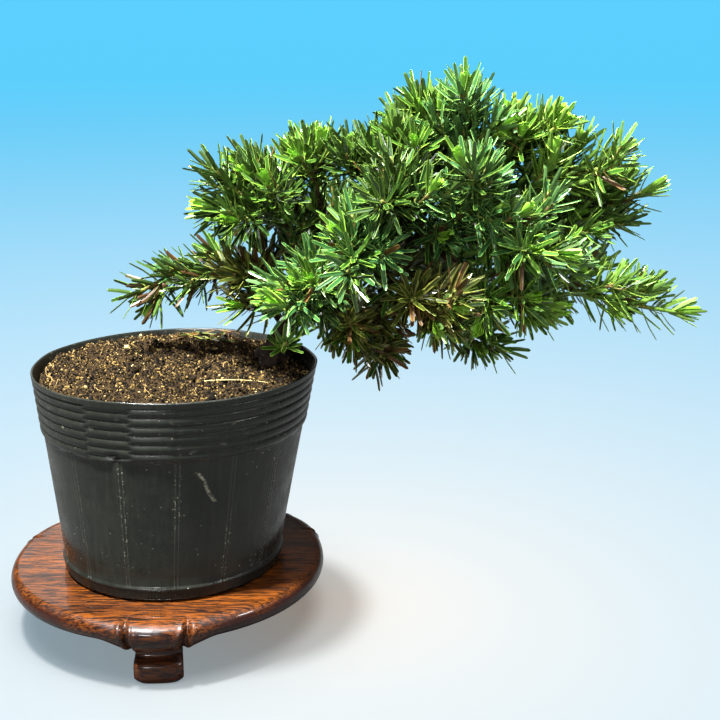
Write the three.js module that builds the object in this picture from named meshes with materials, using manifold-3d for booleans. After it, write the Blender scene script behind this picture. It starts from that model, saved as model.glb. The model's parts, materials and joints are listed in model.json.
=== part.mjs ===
// A young needle-leaved conifer, trained to lean out over one side of its black nursery pot,
// with the pot standing on a small three-legged wooden display stand.
//
// Millimetres. +Z is up, +X is the side that the tree leans to, and +Y is its back.
// Lengths are worked out from the pot's axis; the last lines move the group so that
// the middle of its box stands over the origin, with the three feet on z = 0.
import * as THREE from "three";
import { mergeVertices } from "three/addons/utils/BufferGeometryUtils.js";
import Module from "manifold-3d";

const wasm = await Module();
wasm.setup();

// ---- Driving dimensions ----
const gap = 0.3; // between two pieces that meet

const stand = {
  height: 24,
  centre: [-2.2, 2.4], // the pot doesn't stand quite in its middle
  board: 8, // thickness of the round board
  radius: 60.5,
  lobe: 2.4, // how far the board swells out over each leg
  lobeSpread: 0.3, // radians to each side of a leg
  round: 3.7, // radius of the board's rounded edge
  legWidth: 17.5,
  kneeWidth: 38, // where the leg meets the board
  legs: ["front", "right", "left"],
  firstLeg: THREE.MathUtils.degToRad(-86), // the front one; the others follow at thirds
};

const pot = {
  height: 78,
  footRadius: 41.5,
  rimRadius: 52.5,
  lean: 3.8, // the soft rim sits this far towards +X
  wall: 1,
  band: 23, // height of the ribbed band under the rim
  ribs: 6,
  ribDepth: 0.7,
  sides: 32,
};

const soil = {
  edgeDrop: 4.4, // how far its edge lies below the rim
  crown: 3.4, // how much higher its middle is than its edge
  padRadius: 9, // level top of the mound at the tree's foot
  padSpread: 17,
  padHeight: 100.2,
};

// The trunk is one bent cone: four points of a cubic curve, and its radius along it.
const trunk = {
  foot: [38, 12, 94],
  bendLow: [43, 11, 125],
  bendHigh: [68, 8, 134],
  tip: [119, 3, 160],
  footRadius: 4.3,
  tipRadius: 1.9,
  flare: 2.4,
  flareHeight: 9,
  sides: 9,
  steps: 10,
};

const bough = { rootRadius: 1.7, tipRadius: 1.15, sides: 5, steps: 3 };
const twig = { stemRadius: 1.3, shootRadius: 1.1, tipRadius: 0.8 };
const needle = {
  length: 16,
  lengthJitter: 0.2,
  beyond: 9, // how far they reach past the end of their shoot
  band: 7.5, // of a shoot, for six needles
  foot: 2.2, // half the breadth of a needle's foot
  apart: 0.1, // the least room between two needles of different shoots
  stub: 1.5, // what is left of one that has no room
  firstAngle: 72, // degrees from the shoot, at its foot
  lastAngle: 40, // and at its tip
};
// How far a mass with long side shoots pushes its borders out, as a share of their length.
const space = { headStart: 0.25, pieces: 5 };
const shootRule = {
  firstAt: 0.16, // first and last side shoot, as a share of the stem
  lastAt: 0.82,
  spread: 50, // degrees from the stem
  spreadJitter: 9,
  turn: 137.5, // golden angle from one side shoot to the next
  turnJitter: 24,
  lengthJitter: 0.18,
  taper: 0.25, // side shoots are this much shorter at the stem's tip
};

// Each mass of foliage is carried by its own bough. leaves: share of the trunk at which the bough
// leaves it. boughTip: where the bough ends and the stem starts. rise: how far the bough arches up.
// lead: the stem's tip. shoots: how many leave the stem. reach: their length. lift: how far they turn
// up, as a share of their length. turn: degrees by which the first one is turned about the stem.
const masses = [
  { name: "low_left", leaves: 0.17, boughTip: [33, 13, 128], rise: 3, lead: [-24, 8, 124], shoots: 5, reach: 14, lift: -0.1, turn: 60 },
  { name: "upper_left", leaves: 0.32, boughTip: [46, 3, 152], rise: 4, lead: [11.9, -14, 163.4], shoots: 5, reach: 19, lift: 0.1, turn: 30 },
  { name: "left_top", leaves: 0.37, boughTip: [50, 10, 157], rise: 4, lead: [23, 4, 178], shoots: 4, reach: 17, lift: 0.1, turn: 80 },
  { name: "left_crest", leaves: 0.44, boughTip: [58, 6, 160], rise: 3, lead: [57.6, 0, 190.1], shoots: 4, reach: 17, lift: 0.1, turn: 200 },
  { name: "left_back", leaves: 0.28, boughTip: [50, 22, 146], rise: 4, lead: [14.8, 46, 156.1], shoots: 5, reach: 22, lift: 0.1, turn: 90 },
  { name: "crest", leaves: 0.53, boughTip: [76, 4, 161], rise: 2, lead: [69, 0, 187.3], shoots: 5, reach: 19, lift: 0.1, turn: 10 },
  { name: "crest_high", leaves: 0.63, boughTip: [87, 2, 163], rise: 2, lead: [85.5, -12, 196], shoots: 5, reach: 18, lift: 0.1, turn: 50 },
  { name: "top", leaves: 0.74, boughTip: [97, 8, 168], rise: 2, lead: [95, 8, 208], shoots: 5, reach: 19, lift: 0.15, turn: 100 },
  { name: "top_star", leaves: 0.83, boughTip: [106, 2, 168], rise: 2, lead: [115.5, -4, 206.8], shoots: 5, reach: 18, lift: 0.15, turn: 130 },
  { name: "top_right", leaves: 0.93, boughTip: [118, 5, 167], rise: 2, lead: [145.8, 0, 197], shoots: 5, reach: 19, lift: 0.2, turn: 40 },
  { name: "right_upper", leaves: 0.92, boughTip: [126, 9, 154], rise: 1, lead: [185.2, 0, 167.2], shoots: 6, reach: 20, lift: 0.1, turn: 70 },
  { name: "right_lower", leaves: 0.85, boughTip: [121, -2, 144], rise: 1, lead: [197, -8, 120], shoots: 6, reach: 20, lift: 0.25, turn: 110 },
  { name: "right_star", leaves: 0.8, boughTip: [112, -13, 152], rise: 1, lead: [146, -41, 148], shoots: 5, reach: 20, lift: 0.1, turn: 150 },
  { name: "right_back", leaves: 0.77, boughTip: [114, 21, 152], rise: 2, lead: [180, 48, 146], shoots: 6, reach: 22, lift: 0.1, turn: 20 },
  { name: "front_high", leaves: 0.7, boughTip: [101, -10, 154], rise: 2, lead: [117.7, -40, 183.6], shoots: 5, reach: 19, lift: 0.1, turn: 15 },
  { name: "front_right", leaves: 0.75, boughTip: [108, -9, 139], rise: 1, lead: [145, -32, 126.5], shoots: 5, reach: 19, lift: 0, turn: 80 },
  { name: "front_low", leaves: 0.52, boughTip: [86, -14, 134], rise: 1, lead: [109.3, -42, 123.1], shoots: 5, reach: 19, lift: 0, turn: 35 },
  { name: "front_left", leaves: 0.33, boughTip: [61, -8, 131], rise: 1, lead: [37.4, -36, 133.7], shoots: 5, reach: 17, lift: 0.05, turn: 120 },
  { name: "front_middle", leaves: 0.44, boughTip: [73, -11, 143], rise: 1, lead: [67.7, -48, 156.2], shoots: 5, reach: 19, lift: 0.1, turn: 75 },
  { name: "front_crest", leaves: 0.57, boughTip: [84, -12, 154], rise: 2, lead: [82.9, -38, 177.5], shoots: 5, reach: 19, lift: 0.1, turn: 55 },
  { name: "back_top", leaves: 0.67, boughTip: [97, 22, 163], rise: 2, lead: [100.3, 52, 181.2], shoots: 6, reach: 22, lift: 0.15, turn: 50 },
  { name: "back_low", leaves: 0.57, boughTip: [93, 24, 139], rise: 2, lead: [112, 60, 124], shoots: 6, reach: 22, lift: 0.05, turn: 65 },
  { name: "back_middle", leaves: 0.4, boughTip: [70, 26, 142], rise: 2, lead: [58, 60, 142], shoots: 6, reach: 22, lift: 0.1, turn: 25 },
];
// These spring straight from the trunk, the first of them from its tip.
const sprigs = [
  { name: "top_far", leaves: 1, lead: [171.7, -6, 182.3], shoots: 5, reach: 19, lift: 0.15, turn: 5 },
  { name: "low_right", leaves: 0.66, lead: [132.8, -10, 102.5], shoots: 5, reach: 18, lift: 0, turn: 45 },
  { name: "low_hanging", leaves: 0.56, lead: [77.7, -8, 92.7], shoots: 5, reach: 13, lift: 0, turn: 0 },
  { name: "left_under", leaves: 0.24, lead: [25, -5, 147], shoots: 5, reach: 16, lift: 0, turn: 160 },
  { name: "front_under", leaves: 0.38, lead: [77, -25, 111], shoots: 5, reach: 16, lift: 0, turn: 90 },
  { name: "foot_sprig", leaves: 0.12, lead: [48, -11, 113], shoots: 0, reach: 12, lift: 0, turn: 0 },
];

const colours = {
  pot: { color: 0x1a1d1d, roughness: 0.42 },
  soil: { color: 0x5b4630, roughness: 1 },
  wood: { color: 0x6e2f10, roughness: 0.28 },
  bark: { color: 0x3a2a20, roughness: 0.9 },
  needles: { color: 0x2f5a22, roughness: 0.55 },
};

// ---- Helpers ----
const vector = (p) => new THREE.Vector3(...p);
const radians = THREE.MathUtils.degToRad;
const potFoot = stand.height + gap;
const rimHeight = potFoot + pot.height;

// The same seed always gives the same run of numbers from 0 to 1.
function seeded(seed) {
  let state = seed >>> 0;
  return () => {
    state = (state + 0x6d2b79f5) >>> 0;
    let n = Math.imul(state ^ (state >>> 15), state | 1);
    n ^= n + Math.imul(n ^ (n >>> 7), n | 61);
    return ((n ^ (n >>> 14)) >>> 0) / 4294967296;
  };
}

function solidOf(geometry) {
  const bare = geometry.clone();
  bare.deleteAttribute("normal");
  bare.deleteAttribute("uv");
  const merged = mergeVertices(bare, 1e-4);
  return new wasm.Manifold(
    new wasm.Mesh({
      numProp: 3,
      vertProperties: merged.attributes.position.array,
      triVerts: new Uint32Array(merged.index.array),
    }),
  );
}

function geometryOf(solid) {
  const mesh = solid.getMesh();
  const geometry = new THREE.BufferGeometry();
  geometry.setAttribute("position", new THREE.BufferAttribute(mesh.vertProperties, 3));
  geometry.setIndex(new THREE.BufferAttribute(mesh.triVerts, 1));
  geometry.computeVertexNormals();
  return geometry;
}

function piece(name, shape, look) {
  const geometry = shape.isBufferGeometry ? shape : geometryOf(shape);
  const mesh = new THREE.Mesh(geometry, new THREE.MeshStandardMaterial(look));
  mesh.name = name;
  return mesh;
}

// A tapering limb: a cylinder whose rings are laid along a curve.
function limb(curve, radiusAt, sides, steps) {
  const geometry = new THREE.CylinderGeometry(1, 1, 1, sides, steps);
  const frames = curve.computeFrenetFrames(steps, false);
  const place = geometry.attributes.position;
  for (let i = 0; i < place.count; i++) {
    const ring = Math.round((place.getY(i) + 0.5) * steps);
    const radius = radiusAt(ring / steps);
    const point = curve
      .getPointAt(ring / steps)
      .addScaledVector(frames.binormals[ring], place.getX(i) * radius)
      .addScaledVector(frames.normals[ring], place.getZ(i) * radius);
    place.setXYZ(i, point.x, point.y, point.z);
  }
  return geometry;
}

// Two directions at right angles to a third, the first of them level where it can be.
function across(along) {
  const up = Math.abs(along.z) > 0.95 ? new THREE.Vector3(1, 0, 0) : new THREE.Vector3(0, 0, 1);
  const level = up.cross(along).normalize();
  return [level, along.clone().cross(level)];
}

// ---- Stand ----
const legAngle = (i) => stand.firstLeg + (i * 2 * Math.PI) / stand.legs.length;

function boardRadius(angle) {
  let swell = 0;
  for (let i = 0; i < stand.legs.length; i++) {
    const off = Math.atan2(Math.sin(angle - legAngle(i)), Math.cos(angle - legAngle(i)));
    swell += Math.exp(-((off / stand.lobeSpread) ** 2));
  }
  return stand.radius + stand.lobe * swell;
}

function standBoard() {
  const corners = 42;
  const edge = [];
  for (let i = 0; i < corners; i++) {
    const angle = (i / corners) * 2 * Math.PI;
    const radius = boardRadius(angle) - stand.round;
    edge.push(new THREE.Vector2(radius * Math.cos(angle), radius * Math.sin(angle)));
  }
  const board = new THREE.ExtrudeGeometry(new THREE.Shape(edge), {
    depth: stand.board - 2 * stand.round,
    bevelThickness: stand.round,
    bevelSize: stand.round,
    bevelSegments: 3,
    steps: 1,
  });
  return board.translate(...stand.centre, stand.height - stand.board + stand.round);
}

// A leg is what its side view and its front view have in common. In both, y is up.
function standLeg(index) {
  const top = stand.height - stand.board - gap;
  const knee = stand.radius - 1.4;
  const neck = stand.radius - 4.6;
  const toe = stand.radius - 1.8;
  const side = new THREE.Shape();
  side.moveTo(knee - 16, top);
  side.lineTo(knee, top);
  side.quadraticCurveTo(knee + 0.4, top * 0.78, neck, top * 0.65);
  side.quadraticCurveTo(neck - 0.3, top * 0.54, toe - 0.4, top * 0.47);
  side.quadraticCurveTo(toe + 0.2, top * 0.28, toe, top * 0.06);
  side.lineTo(toe - 0.9, 0);
  side.lineTo(toe - 8.5, 0);
  side.quadraticCurveTo(toe - 9, top * 0.6, knee - 16, top);
  const front = new THREE.Shape();
  const half = stand.legWidth / 2;
  front.moveTo(-half, -1);
  front.lineTo(half, -1);
  front.lineTo(half, top * 0.58);
  front.quadraticCurveTo(half + 1, top * 0.93, stand.kneeWidth / 2, top + 1);
  front.lineTo(-stand.kneeWidth / 2, top + 1);
  front.quadraticCurveTo(-half - 1, top * 0.93, -half, top * 0.58);
  const plain = { bevelEnabled: false, curveSegments: 4 };
  const fromSide = new THREE.ExtrudeGeometry(side, { ...plain, depth: stand.kneeWidth + 2 });
  fromSide.translate(0, 0, -stand.kneeWidth / 2 - 1).rotateX(Math.PI / 2);
  const fromFront = new THREE.ExtrudeGeometry(front, { ...plain, depth: 30 });
  fromFront.rotateX(Math.PI / 2).rotateZ(Math.PI / 2).translate(knee - 24, 0, 0);
  const leg = solidOf(fromSide).intersect(solidOf(fromFront));
  return leg.rotate([0, 0, THREE.MathUtils.radToDeg(legAngle(index))]).translate([...stand.centre, 0]);
}

// ---- Pot and soil ----
// The pot's side leans from the foot's axis to the rim's, so that each ring keeps its own centre.
function leanOver(geometry) {
  const place = geometry.attributes.position;
  for (let i = 0; i < place.count; i++) {
    const share = (place.getZ(i) - potFoot) / pot.height;
    place.setX(i, place.getX(i) + pot.lean * share);
  }
  return geometry;
}

function turned(profile) {
  const points = profile.map(([radius, height]) => new THREE.Vector2(radius, height));
  return leanOver(new THREE.LatheGeometry(points, pot.sides).rotateX(Math.PI / 2));
}

// Outside radius of the pot's plain wall at a height above its foot.
function potRadius(height) {
  return pot.footRadius + ((pot.rimRadius - pot.footRadius) * height) / pot.height;
}

function potWall() {
  const z = potFoot;
  const outside = [
    [0, z],
    [pot.footRadius - 1.6, z],
    [pot.footRadius - 0.2, z + 1.2],
    [potRadius(4.6) - 0.4, z + 4.6],
    [potRadius(5.4) - 0.9, z + 5.4],
    [potRadius(pot.height - pot.band) - 0.9, z + pot.height - pot.band],
  ];
  const rib = (pot.band - 3) / pot.ribs;
  for (let i = 0; i < pot.ribs; i++) {
    const low = pot.height - pot.band + 0.8 + i * rib;
    outside.push([potRadius(low), z + low]);
    outside.push([potRadius(low + rib * 0.62), z + low + rib * 0.62]);
    outside.push([potRadius(low + rib * 0.8) - pot.ribDepth, z + low + rib * 0.8]);
  }
  outside.push([pot.rimRadius, z + pot.height - 1.6]);
  outside.push([pot.rimRadius, z + pot.height]);
  const inside = [
    [pot.rimRadius - pot.wall, z + pot.height],
    [potRadius(pot.height - pot.band) - 0.9 - pot.wall, z + pot.height - pot.band],
    [pot.footRadius - 1.2 - pot.wall, z + pot.wall + 1],
    [0, z + pot.wall],
  ];
  return turned([...outside, ...inside]);
}

function soilRadius(height) {
  const low = pot.footRadius - 1.2 - pot.wall;
  const high = potRadius(pot.height - pot.band) - 0.9 - pot.wall;
  const share = (height - pot.wall - 1) / (pot.height - pot.band - pot.wall - 1);
  return low + (high - low) * share - gap;
}

function soilBody() {
  const z = potFoot;
  const edge = pot.height - soil.edgeDrop;
  const rings = 4;
  const profile = [
    [0, z + pot.wall + gap],
    [soilRadius(pot.wall + 1.3), z + pot.wall + 1.3],
    [soilRadius(pot.height - pot.band), z + pot.height - pot.band],
    [soilRadius(edge - 1.5), z + edge - 1.5],
  ];
  for (let i = rings; i >= 0; i--) {
    const share = i / rings;
    profile.push([share * (soilRadius(edge) - 1.4), z + edge + soil.crown * (1 - share * share)]);
  }
  const heap = new THREE.CylinderGeometry(soil.padRadius, soil.padSpread, 6, 20);
  heap.rotateX(Math.PI / 2).translate(trunk.foot[0] - 0.5, trunk.foot[1], soil.padHeight - 3);
  const inner = turned([
    [0, z + pot.height / 2],
    [soilRadius(pot.height / 2), z + pot.height / 2],
    [soilRadius(pot.height + 2), rimHeight + 2],
    [0, rimHeight + 2],
  ]);
  return solidOf(turned(profile)).add(solidOf(heap).intersect(solidOf(inner)));
}

// ---- Trunk and boughs ----
const trunkCurve = new THREE.CubicBezierCurve3(
  vector(trunk.foot),
  vector(trunk.bendLow),
  vector(trunk.bendHigh),
  vector(trunk.tip),
);

function trunkRadius(share) {
  const taper = trunk.footRadius + (trunk.tipRadius - trunk.footRadius) * share;
  const above = trunkCurve.getPointAt(share).z - soil.padHeight;
  return taper + trunk.flare * Math.exp(-Math.max(above, 0) / (trunk.flareHeight / 2.5));
}

function trunkBody(extra) {
  const radiusAt = (share) => trunkRadius(share) + extra;
  return solidOf(limb(trunkCurve, radiusAt, trunk.sides, trunk.steps));
}

// The trunk and the gap about it, rounded over its tip.
function trunkRoom() {
  const cap = new THREE.SphereGeometry(trunk.tipRadius + gap, 12, 8);
  const tip = trunk.tip;
  return trunkBody(gap).add(solidOf(cap.translate(tip[0], tip[1], tip[2])));
}

function boughOf(mass) {
  const from = trunkCurve.getPointAt(mass.leaves);
  const to = vector(mass.boughTip);
  const middle = from.clone().lerp(to, 0.5).add(new THREE.Vector3(0, 0, mass.rise));
  const curve = new THREE.QuadraticBezierCurve3(from, middle, to);
  const radiusAt = (share) => bough.rootRadius + (bough.tipRadius - bough.rootRadius) * share;
  return { curve, radiusAt };
}

// ---- Foliage ----
// The stem grows on from the bough's tip to the lead, and side shoots leave it in a spiral.
function shootsOf(mass, start, heading) {
  const random = seeded(mass.seed);
  const jitter = () => random() * 2 - 1;
  const lead = vector(mass.lead);
  lead.addScaledVector(start.clone().sub(lead).normalize(), needle.beyond);
  const length = start.distanceTo(lead);
  const bend = start.clone().addScaledVector(heading, length * 0.4);
  const stem = new THREE.QuadraticBezierCurve3(start, bend, lead);
  const shoots = [{ curve: stem, radius: twig.stemRadius, bare: 1 }];
  for (let i = 0; i < mass.shoots; i++) {
    const order = (i + 0.5) / mass.shoots;
    const at = shootRule.firstAt + (shootRule.lastAt - shootRule.firstAt) * order;
    const root = stem.getPoint(at);
    const along = stem.getTangent(at);
    const [level, upright] = across(along);
    const turn = radians(mass.turn + i * shootRule.turn + jitter() * shootRule.turnJitter);
    const spread = radians(shootRule.spread + jitter() * shootRule.spreadJitter);
    const size = mass.reach * (1 - shootRule.taper * at) * (1 + jitter() * shootRule.lengthJitter);
    const side = level.multiplyScalar(Math.cos(turn)).addScaledVector(upright, Math.sin(turn));
    const away = along.clone().multiplyScalar(Math.cos(spread)).addScaledVector(side, Math.sin(spread));
    const end = away.clone().multiplyScalar(0.8).addScaledVector(along, 0.2).normalize();
    end.multiplyScalar(size).add(root).add(new THREE.Vector3(0, 0, mass.lift * size));
    const middle = root.clone().addScaledVector(away, size * 0.5);
    const curve = new THREE.QuadraticBezierCurve3(root, middle, end);
    shoots.push({ curve, radius: twig.shootRadius, bare: 1 });
  }
  return shoots;
}

// The crown is shared out between the masses: a point belongs to the one whose stem is nearest, once
// each has been given its head start. depthIn is how far a point lies inside a mass's own share.
function fromStem(mass, point) {
  const nearest = new THREE.Vector3();
  let least = Infinity;
  for (const line of mass.spine) {
    line.closestPointToPoint(point, true, nearest);
    least = Math.min(least, nearest.distanceTo(point));
  }
  return least - mass.reach * space.headStart;
}

function depthIn(mass, point) {
  const own = fromStem(mass, point);
  let depth = Infinity;
  for (const other of grown) {
    if (other !== mass) depth = Math.min(depth, (fromStem(other, point) - own) / 2);
  }
  return depth;
}

function clearOfPot(point, room) {
  const fromAxis = Math.hypot(point.x - pot.lean, point.y);
  return fromAxis > pot.rimRadius + 3 + room || point.z > rimHeight + 1 + room;
}

function clearOfLimbs(point, room, ownLimb) {
  return limbs.every((one) => one.beads.every((bead, i) => {
    const end = one === ownLimb && i > one.beads.length - 3;
    return end || point.distanceTo(bead.at) > bead.radius + room;
  }));
}

function isFree(mass, point, room, ownLimb = null) {
  return (
    depthIn(mass, point) > room + gap / 2 &&
    clearOfPot(point, room) &&
    clearOfLimbs(point, room + gap, ownLimb)
  );
}

// The share of a shoot that keeps to the mass's space, found from its foot outwards.
function freeShare(mass, shoot) {
  const checks = 12;
  for (let i = 3; i <= checks; i++) {
    const point = shoot.curve.getPoint(i / checks);
    if (!isFree(mass, point, shoot.radius, mass.limb)) return (i - 1) / checks;
  }
  return 1;
}

// The room left between two straight spikes, each thinning from its foot to its tip.
function roomBetween(a, b) {
  const along = a.tip.clone().sub(a.root);
  const other = b.tip.clone().sub(b.root);
  const between = a.root.clone().sub(b.root);
  const aa = along.dot(along);
  const ab = along.dot(other);
  const bb = other.dot(other);
  const spread = Math.max(aa * bb - ab * ab, 1e-9);
  const clamp = (share) => THREE.MathUtils.clamp(share, 0, 1);
  let onA = clamp((ab * other.dot(between) - bb * along.dot(between)) / spread);
  const onB = clamp((ab * onA + other.dot(between)) / bb);
  onA = clamp((ab * onB - along.dot(between)) / aa);
  const nearest = a.root.clone().addScaledVector(along, onA);
  const distance = nearest.distanceTo(b.root.clone().addScaledVector(other, onB));
  return distance - a.foot + (a.foot - a.end) * onA - b.foot + (b.foot - b.end) * onB;
}

// A needle is as long as its mass's space and the needles about it let it be.
function needleTip(mass, root, direction, full, others) {
  for (const share of [1, 0.85, 0.7, 0.55, 0.4]) {
    const tip = root.clone().addScaledVector(direction, full * share);
    const inSpace = [0.35, 0.7, 1].every((part) => {
      const point = root.clone().lerp(tip, part);
      return isFree(mass, point, (needle.foot * (1 - part)) / 2, mass.limb);
    });
    const spike = { root, tip, foot: needle.foot * share, end: 0 };
    if (inSpace && others.every((one) => roomBetween(spike, one) > needle.apart)) return tip;
  }
  return root.clone().addScaledVector(direction, needle.stub);
}

// A shoot is a three-sided twig whose rings are turned by half a side from one to the next. Each
// triangle between two rings is drawn out into a needle, and the last ring into a closed bud.
function shootBody(mass, shoot, share, random, others) {
  const bands = Math.max(2, Math.round((shoot.curve.getLength() * share) / needle.band));
  const frames = [];
  for (let i = 0; i <= bands; i++) {
    const at = (share * i) / bands;
    const along = shoot.curve.getTangent(at);
    frames.push({ at, root: shoot.curve.getPoint(at), along, sides: across(along) });
  }
  const outwards = (frame, around) =>
    frame.sides[0].clone().multiplyScalar(Math.cos(around)).addScaledVector(frame.sides[1], Math.sin(around));
  const third = (2 * Math.PI) / 3;
  const points = [];
  for (let i = 0; i <= bands; i++) {
    const radius = shoot.radius + (twig.tipRadius - shoot.radius) * (i / bands);
    for (let k = 0; k < 3; k++) {
      const around = third * (k + i / 2);
      points.push(frames[i].root.clone().addScaledVector(outwards(frames[i], around), radius));
    }
  }
  const faces = [0, 2, 1];
  const drawn = [];
  for (let i = 0; i < bands; i++) {
    for (let k = 0; k < 3; k++) {
      const low = [3 * i + k, 3 * i + ((k + 1) % 3)];
      const high = [3 * i + 3 + k, 3 * i + 3 + ((k + 2) % 3)];
      const corners = [
        { of: [low[0], low[1], high[0]], at: i + 1 / 3, around: third * (k + i / 2 + 0.5) },
        { of: [high[0], high[1], low[0]], at: i + 2 / 3, around: third * (k + i / 2) },
      ];
      for (const { of, at, around } of corners) {
        const frame = frames[Math.round(at)];
        const root = points[of[0]].clone().add(points[of[1]]).add(points[of[2]]).divideScalar(3);
        const angle = radians(needle.firstAngle + (needle.lastAngle - needle.firstAngle) * (at / bands));
        const full = needle.length * (1 - needle.lengthJitter * random());
        const direction = frame.along.clone().multiplyScalar(Math.cos(angle))
          .addScaledVector(outwards(frame, around), Math.sin(angle));
        if (at < shoot.bare) {
          faces.push(...of);
          continue;
        }
        const tip = needleTip(mass, root, direction, full, others);
        drawn.push({ root, tip, foot: needle.foot, end: 0 });
        points.push(tip);
        const last = points.length - 1;
        faces.push(of[0], of[1], last, of[1], of[2], last, of[2], of[0], last);
      }
    }
  }
  const end = frames[bands];
  const bud = needleTip(mass, end.root, end.along, needle.length * 0.75, others);
  points.push(bud);
  const last = points.length - 1;
  for (let k = 0; k < 3; k++) faces.push(3 * bands + k, 3 * bands + ((k + 1) % 3), last);
  const body = new THREE.BufferGeometry().setFromPoints(points);
  return { drawn, solid: solidOf(body.setIndex(faces)) };
}

// A twig as a row of straight spikes that don't thin.
function twigSpikes(shoot, share) {
  const spikes = [];
  const pieces = 4;
  for (let i = 0; i < pieces; i++) {
    const root = shoot.curve.getPoint((share * i) / pieces);
    const tip = shoot.curve.getPoint((share * (i + 1)) / pieces);
    spikes.push({ root, tip, foot: shoot.radius, end: shoot.radius });
  }
  return spikes;
}

// The stem and its side shoots are fused, and only the one body that hangs together is kept.
function foliageOf(mass) {
  const random = seeded(mass.seed + 100);
  const kept = [];
  for (const shoot of mass.shootList) {
    const share = freeShare(mass, shoot);
    if (share < 0.4 && shoot !== mass.shootList[0]) continue;
    const used = Math.max(share, 0.5);
    kept.push({ shoot, share: used, spikes: twigSpikes(shoot, used) });
  }
  const solids = [];
  for (const one of kept) {
    const others = kept.filter((other) => other !== one).flatMap((other) => other.spikes);
    const { drawn, solid } = shootBody(mass, one.shoot, one.share, random, others);
    one.spikes.push(...drawn);
    solids.push(solid);
  }
  const fused = wasm.Manifold.union(solids);
  return fused.decompose().reduce((big, one) => (one.volume() > big.volume() ? one : big));
}

// ---- Assembly ----
function beadsOn(curve, radiusAt, count) {
  const beads = [];
  for (let i = 0; i <= count; i++) {
    beads.push({ at: curve.getPointAt(i / count), radius: radiusAt(i / count) });
  }
  return beads;
}

const limbs = [{ beads: beadsOn(trunkCurve, trunkRadius, 70) }];
const grown = [];
masses.forEach((mass, i) => {
  const { curve, radiusAt } = boughOf(mass);
  const ownLimb = { beads: beadsOn(curve, radiusAt, 24) };
  limbs.push(ownLimb);
  const heading = curve.getTangent(1);
  const start = curve.getPoint(1).addScaledVector(heading, gap);
  grown.push({ ...mass, seed: 11 + i, limb: ownLimb, boughCurve: curve, boughRadius: radiusAt, start, heading });
});
sprigs.forEach((sprig, i) => {
  const start = trunkCurve.getPointAt(sprig.leaves);
  const along = trunkCurve.getTangentAt(sprig.leaves);
  const atTip = sprig.leaves === 1;
  const heading = atTip ? along : vector(sprig.lead).sub(start).projectOnPlane(along).normalize();
  start.addScaledVector(heading, atTip ? gap : trunkRadius(sprig.leaves) + 1.5 * gap);
  grown.push({ ...sprig, seed: 61 + i, start, heading });
});
for (const mass of grown) {
  mass.shootList = shootsOf(mass, mass.start, mass.heading);
  const points = mass.shootList[0].curve.getPoints(space.pieces);
  mass.spine = points.slice(1).map((point, i) => new THREE.Line3(points[i], point));
}

const tree = new THREE.Group();
tree.add(piece("stand_top", standBoard(), colours.wood));
stand.legs.forEach((side, i) => tree.add(piece(`stand_leg_${side}`, standLeg(i), colours.wood)));
tree.add(piece("pot", potWall(), colours.pot));
tree.add(piece("soil", soilBody(), colours.soil));

const trunkSolid = trunkBody(0).trimByPlane([0, 0, 1], soil.padHeight + gap);
const room = trunkRoom();
tree.add(piece("trunk", trunkSolid, colours.bark));
for (const mass of grown) {
  if (mass.boughCurve) {
    const body = solidOf(limb(mass.boughCurve, mass.boughRadius, bough.sides, bough.steps));
    tree.add(piece(`bough_${mass.name}`, body.subtract(room), colours.bark));
  }
  tree.add(piece(`foliage_${mass.name}`, foliageOf(mass), colours.needles));
}

// The middle of the whole thing's box stands over the origin.
const box = new THREE.Box3().setFromObject(tree);
const middle = box.getCenter(new THREE.Vector3());
tree.position.set(-middle.x, -middle.y, 0);

export default tree;
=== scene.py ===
import json
import math

import bmesh
import bpy
import numpy as np
from mathutils import Matrix, Vector, noise

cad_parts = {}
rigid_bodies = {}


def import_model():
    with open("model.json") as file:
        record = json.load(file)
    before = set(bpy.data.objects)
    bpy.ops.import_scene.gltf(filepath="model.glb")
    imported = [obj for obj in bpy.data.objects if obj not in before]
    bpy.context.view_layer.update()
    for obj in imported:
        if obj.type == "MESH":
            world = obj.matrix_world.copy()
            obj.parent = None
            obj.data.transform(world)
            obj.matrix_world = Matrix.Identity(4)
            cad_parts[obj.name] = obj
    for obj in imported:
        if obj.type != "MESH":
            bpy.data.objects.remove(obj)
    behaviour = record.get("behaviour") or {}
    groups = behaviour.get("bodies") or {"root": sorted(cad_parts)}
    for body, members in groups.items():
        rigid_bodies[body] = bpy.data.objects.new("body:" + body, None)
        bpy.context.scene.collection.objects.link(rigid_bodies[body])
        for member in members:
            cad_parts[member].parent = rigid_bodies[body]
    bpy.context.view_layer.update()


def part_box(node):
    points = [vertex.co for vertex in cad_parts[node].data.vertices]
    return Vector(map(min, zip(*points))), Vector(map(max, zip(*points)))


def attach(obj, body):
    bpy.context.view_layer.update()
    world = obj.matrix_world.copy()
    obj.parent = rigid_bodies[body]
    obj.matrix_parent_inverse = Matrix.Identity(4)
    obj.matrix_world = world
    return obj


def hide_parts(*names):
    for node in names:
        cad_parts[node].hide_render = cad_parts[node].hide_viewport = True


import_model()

# A young needle-leaved conifer leaning out of its black nursery pot, on a carved display stand.
# Lengths are millimetres from the pot's axis on the ground, +X the way the tree leans,
# and settle() or inFrame() takes them to the frame's metres.
potLow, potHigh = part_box("pot")
gap = 0.3
potLean = 3.8                      # the soft rim sits this far towards +X
axisX = (potLow.x + potHigh.x) / 2 - potLean / 1000
axisY = (potLow.y + potHigh.y) / 2
potFoot = potLow.z * 1000
rimHeight = potHigh.z * 1000
standTop = potFoot - gap


def inFrame(points):
    return np.asarray(points, float) / 1000 + np.array([axisX, axisY, 0])


def table(keys, *rows):                # a dictionary from each row, with its values in the keys' order
    return [dict(zip(keys, row)) for row in rows]


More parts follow.
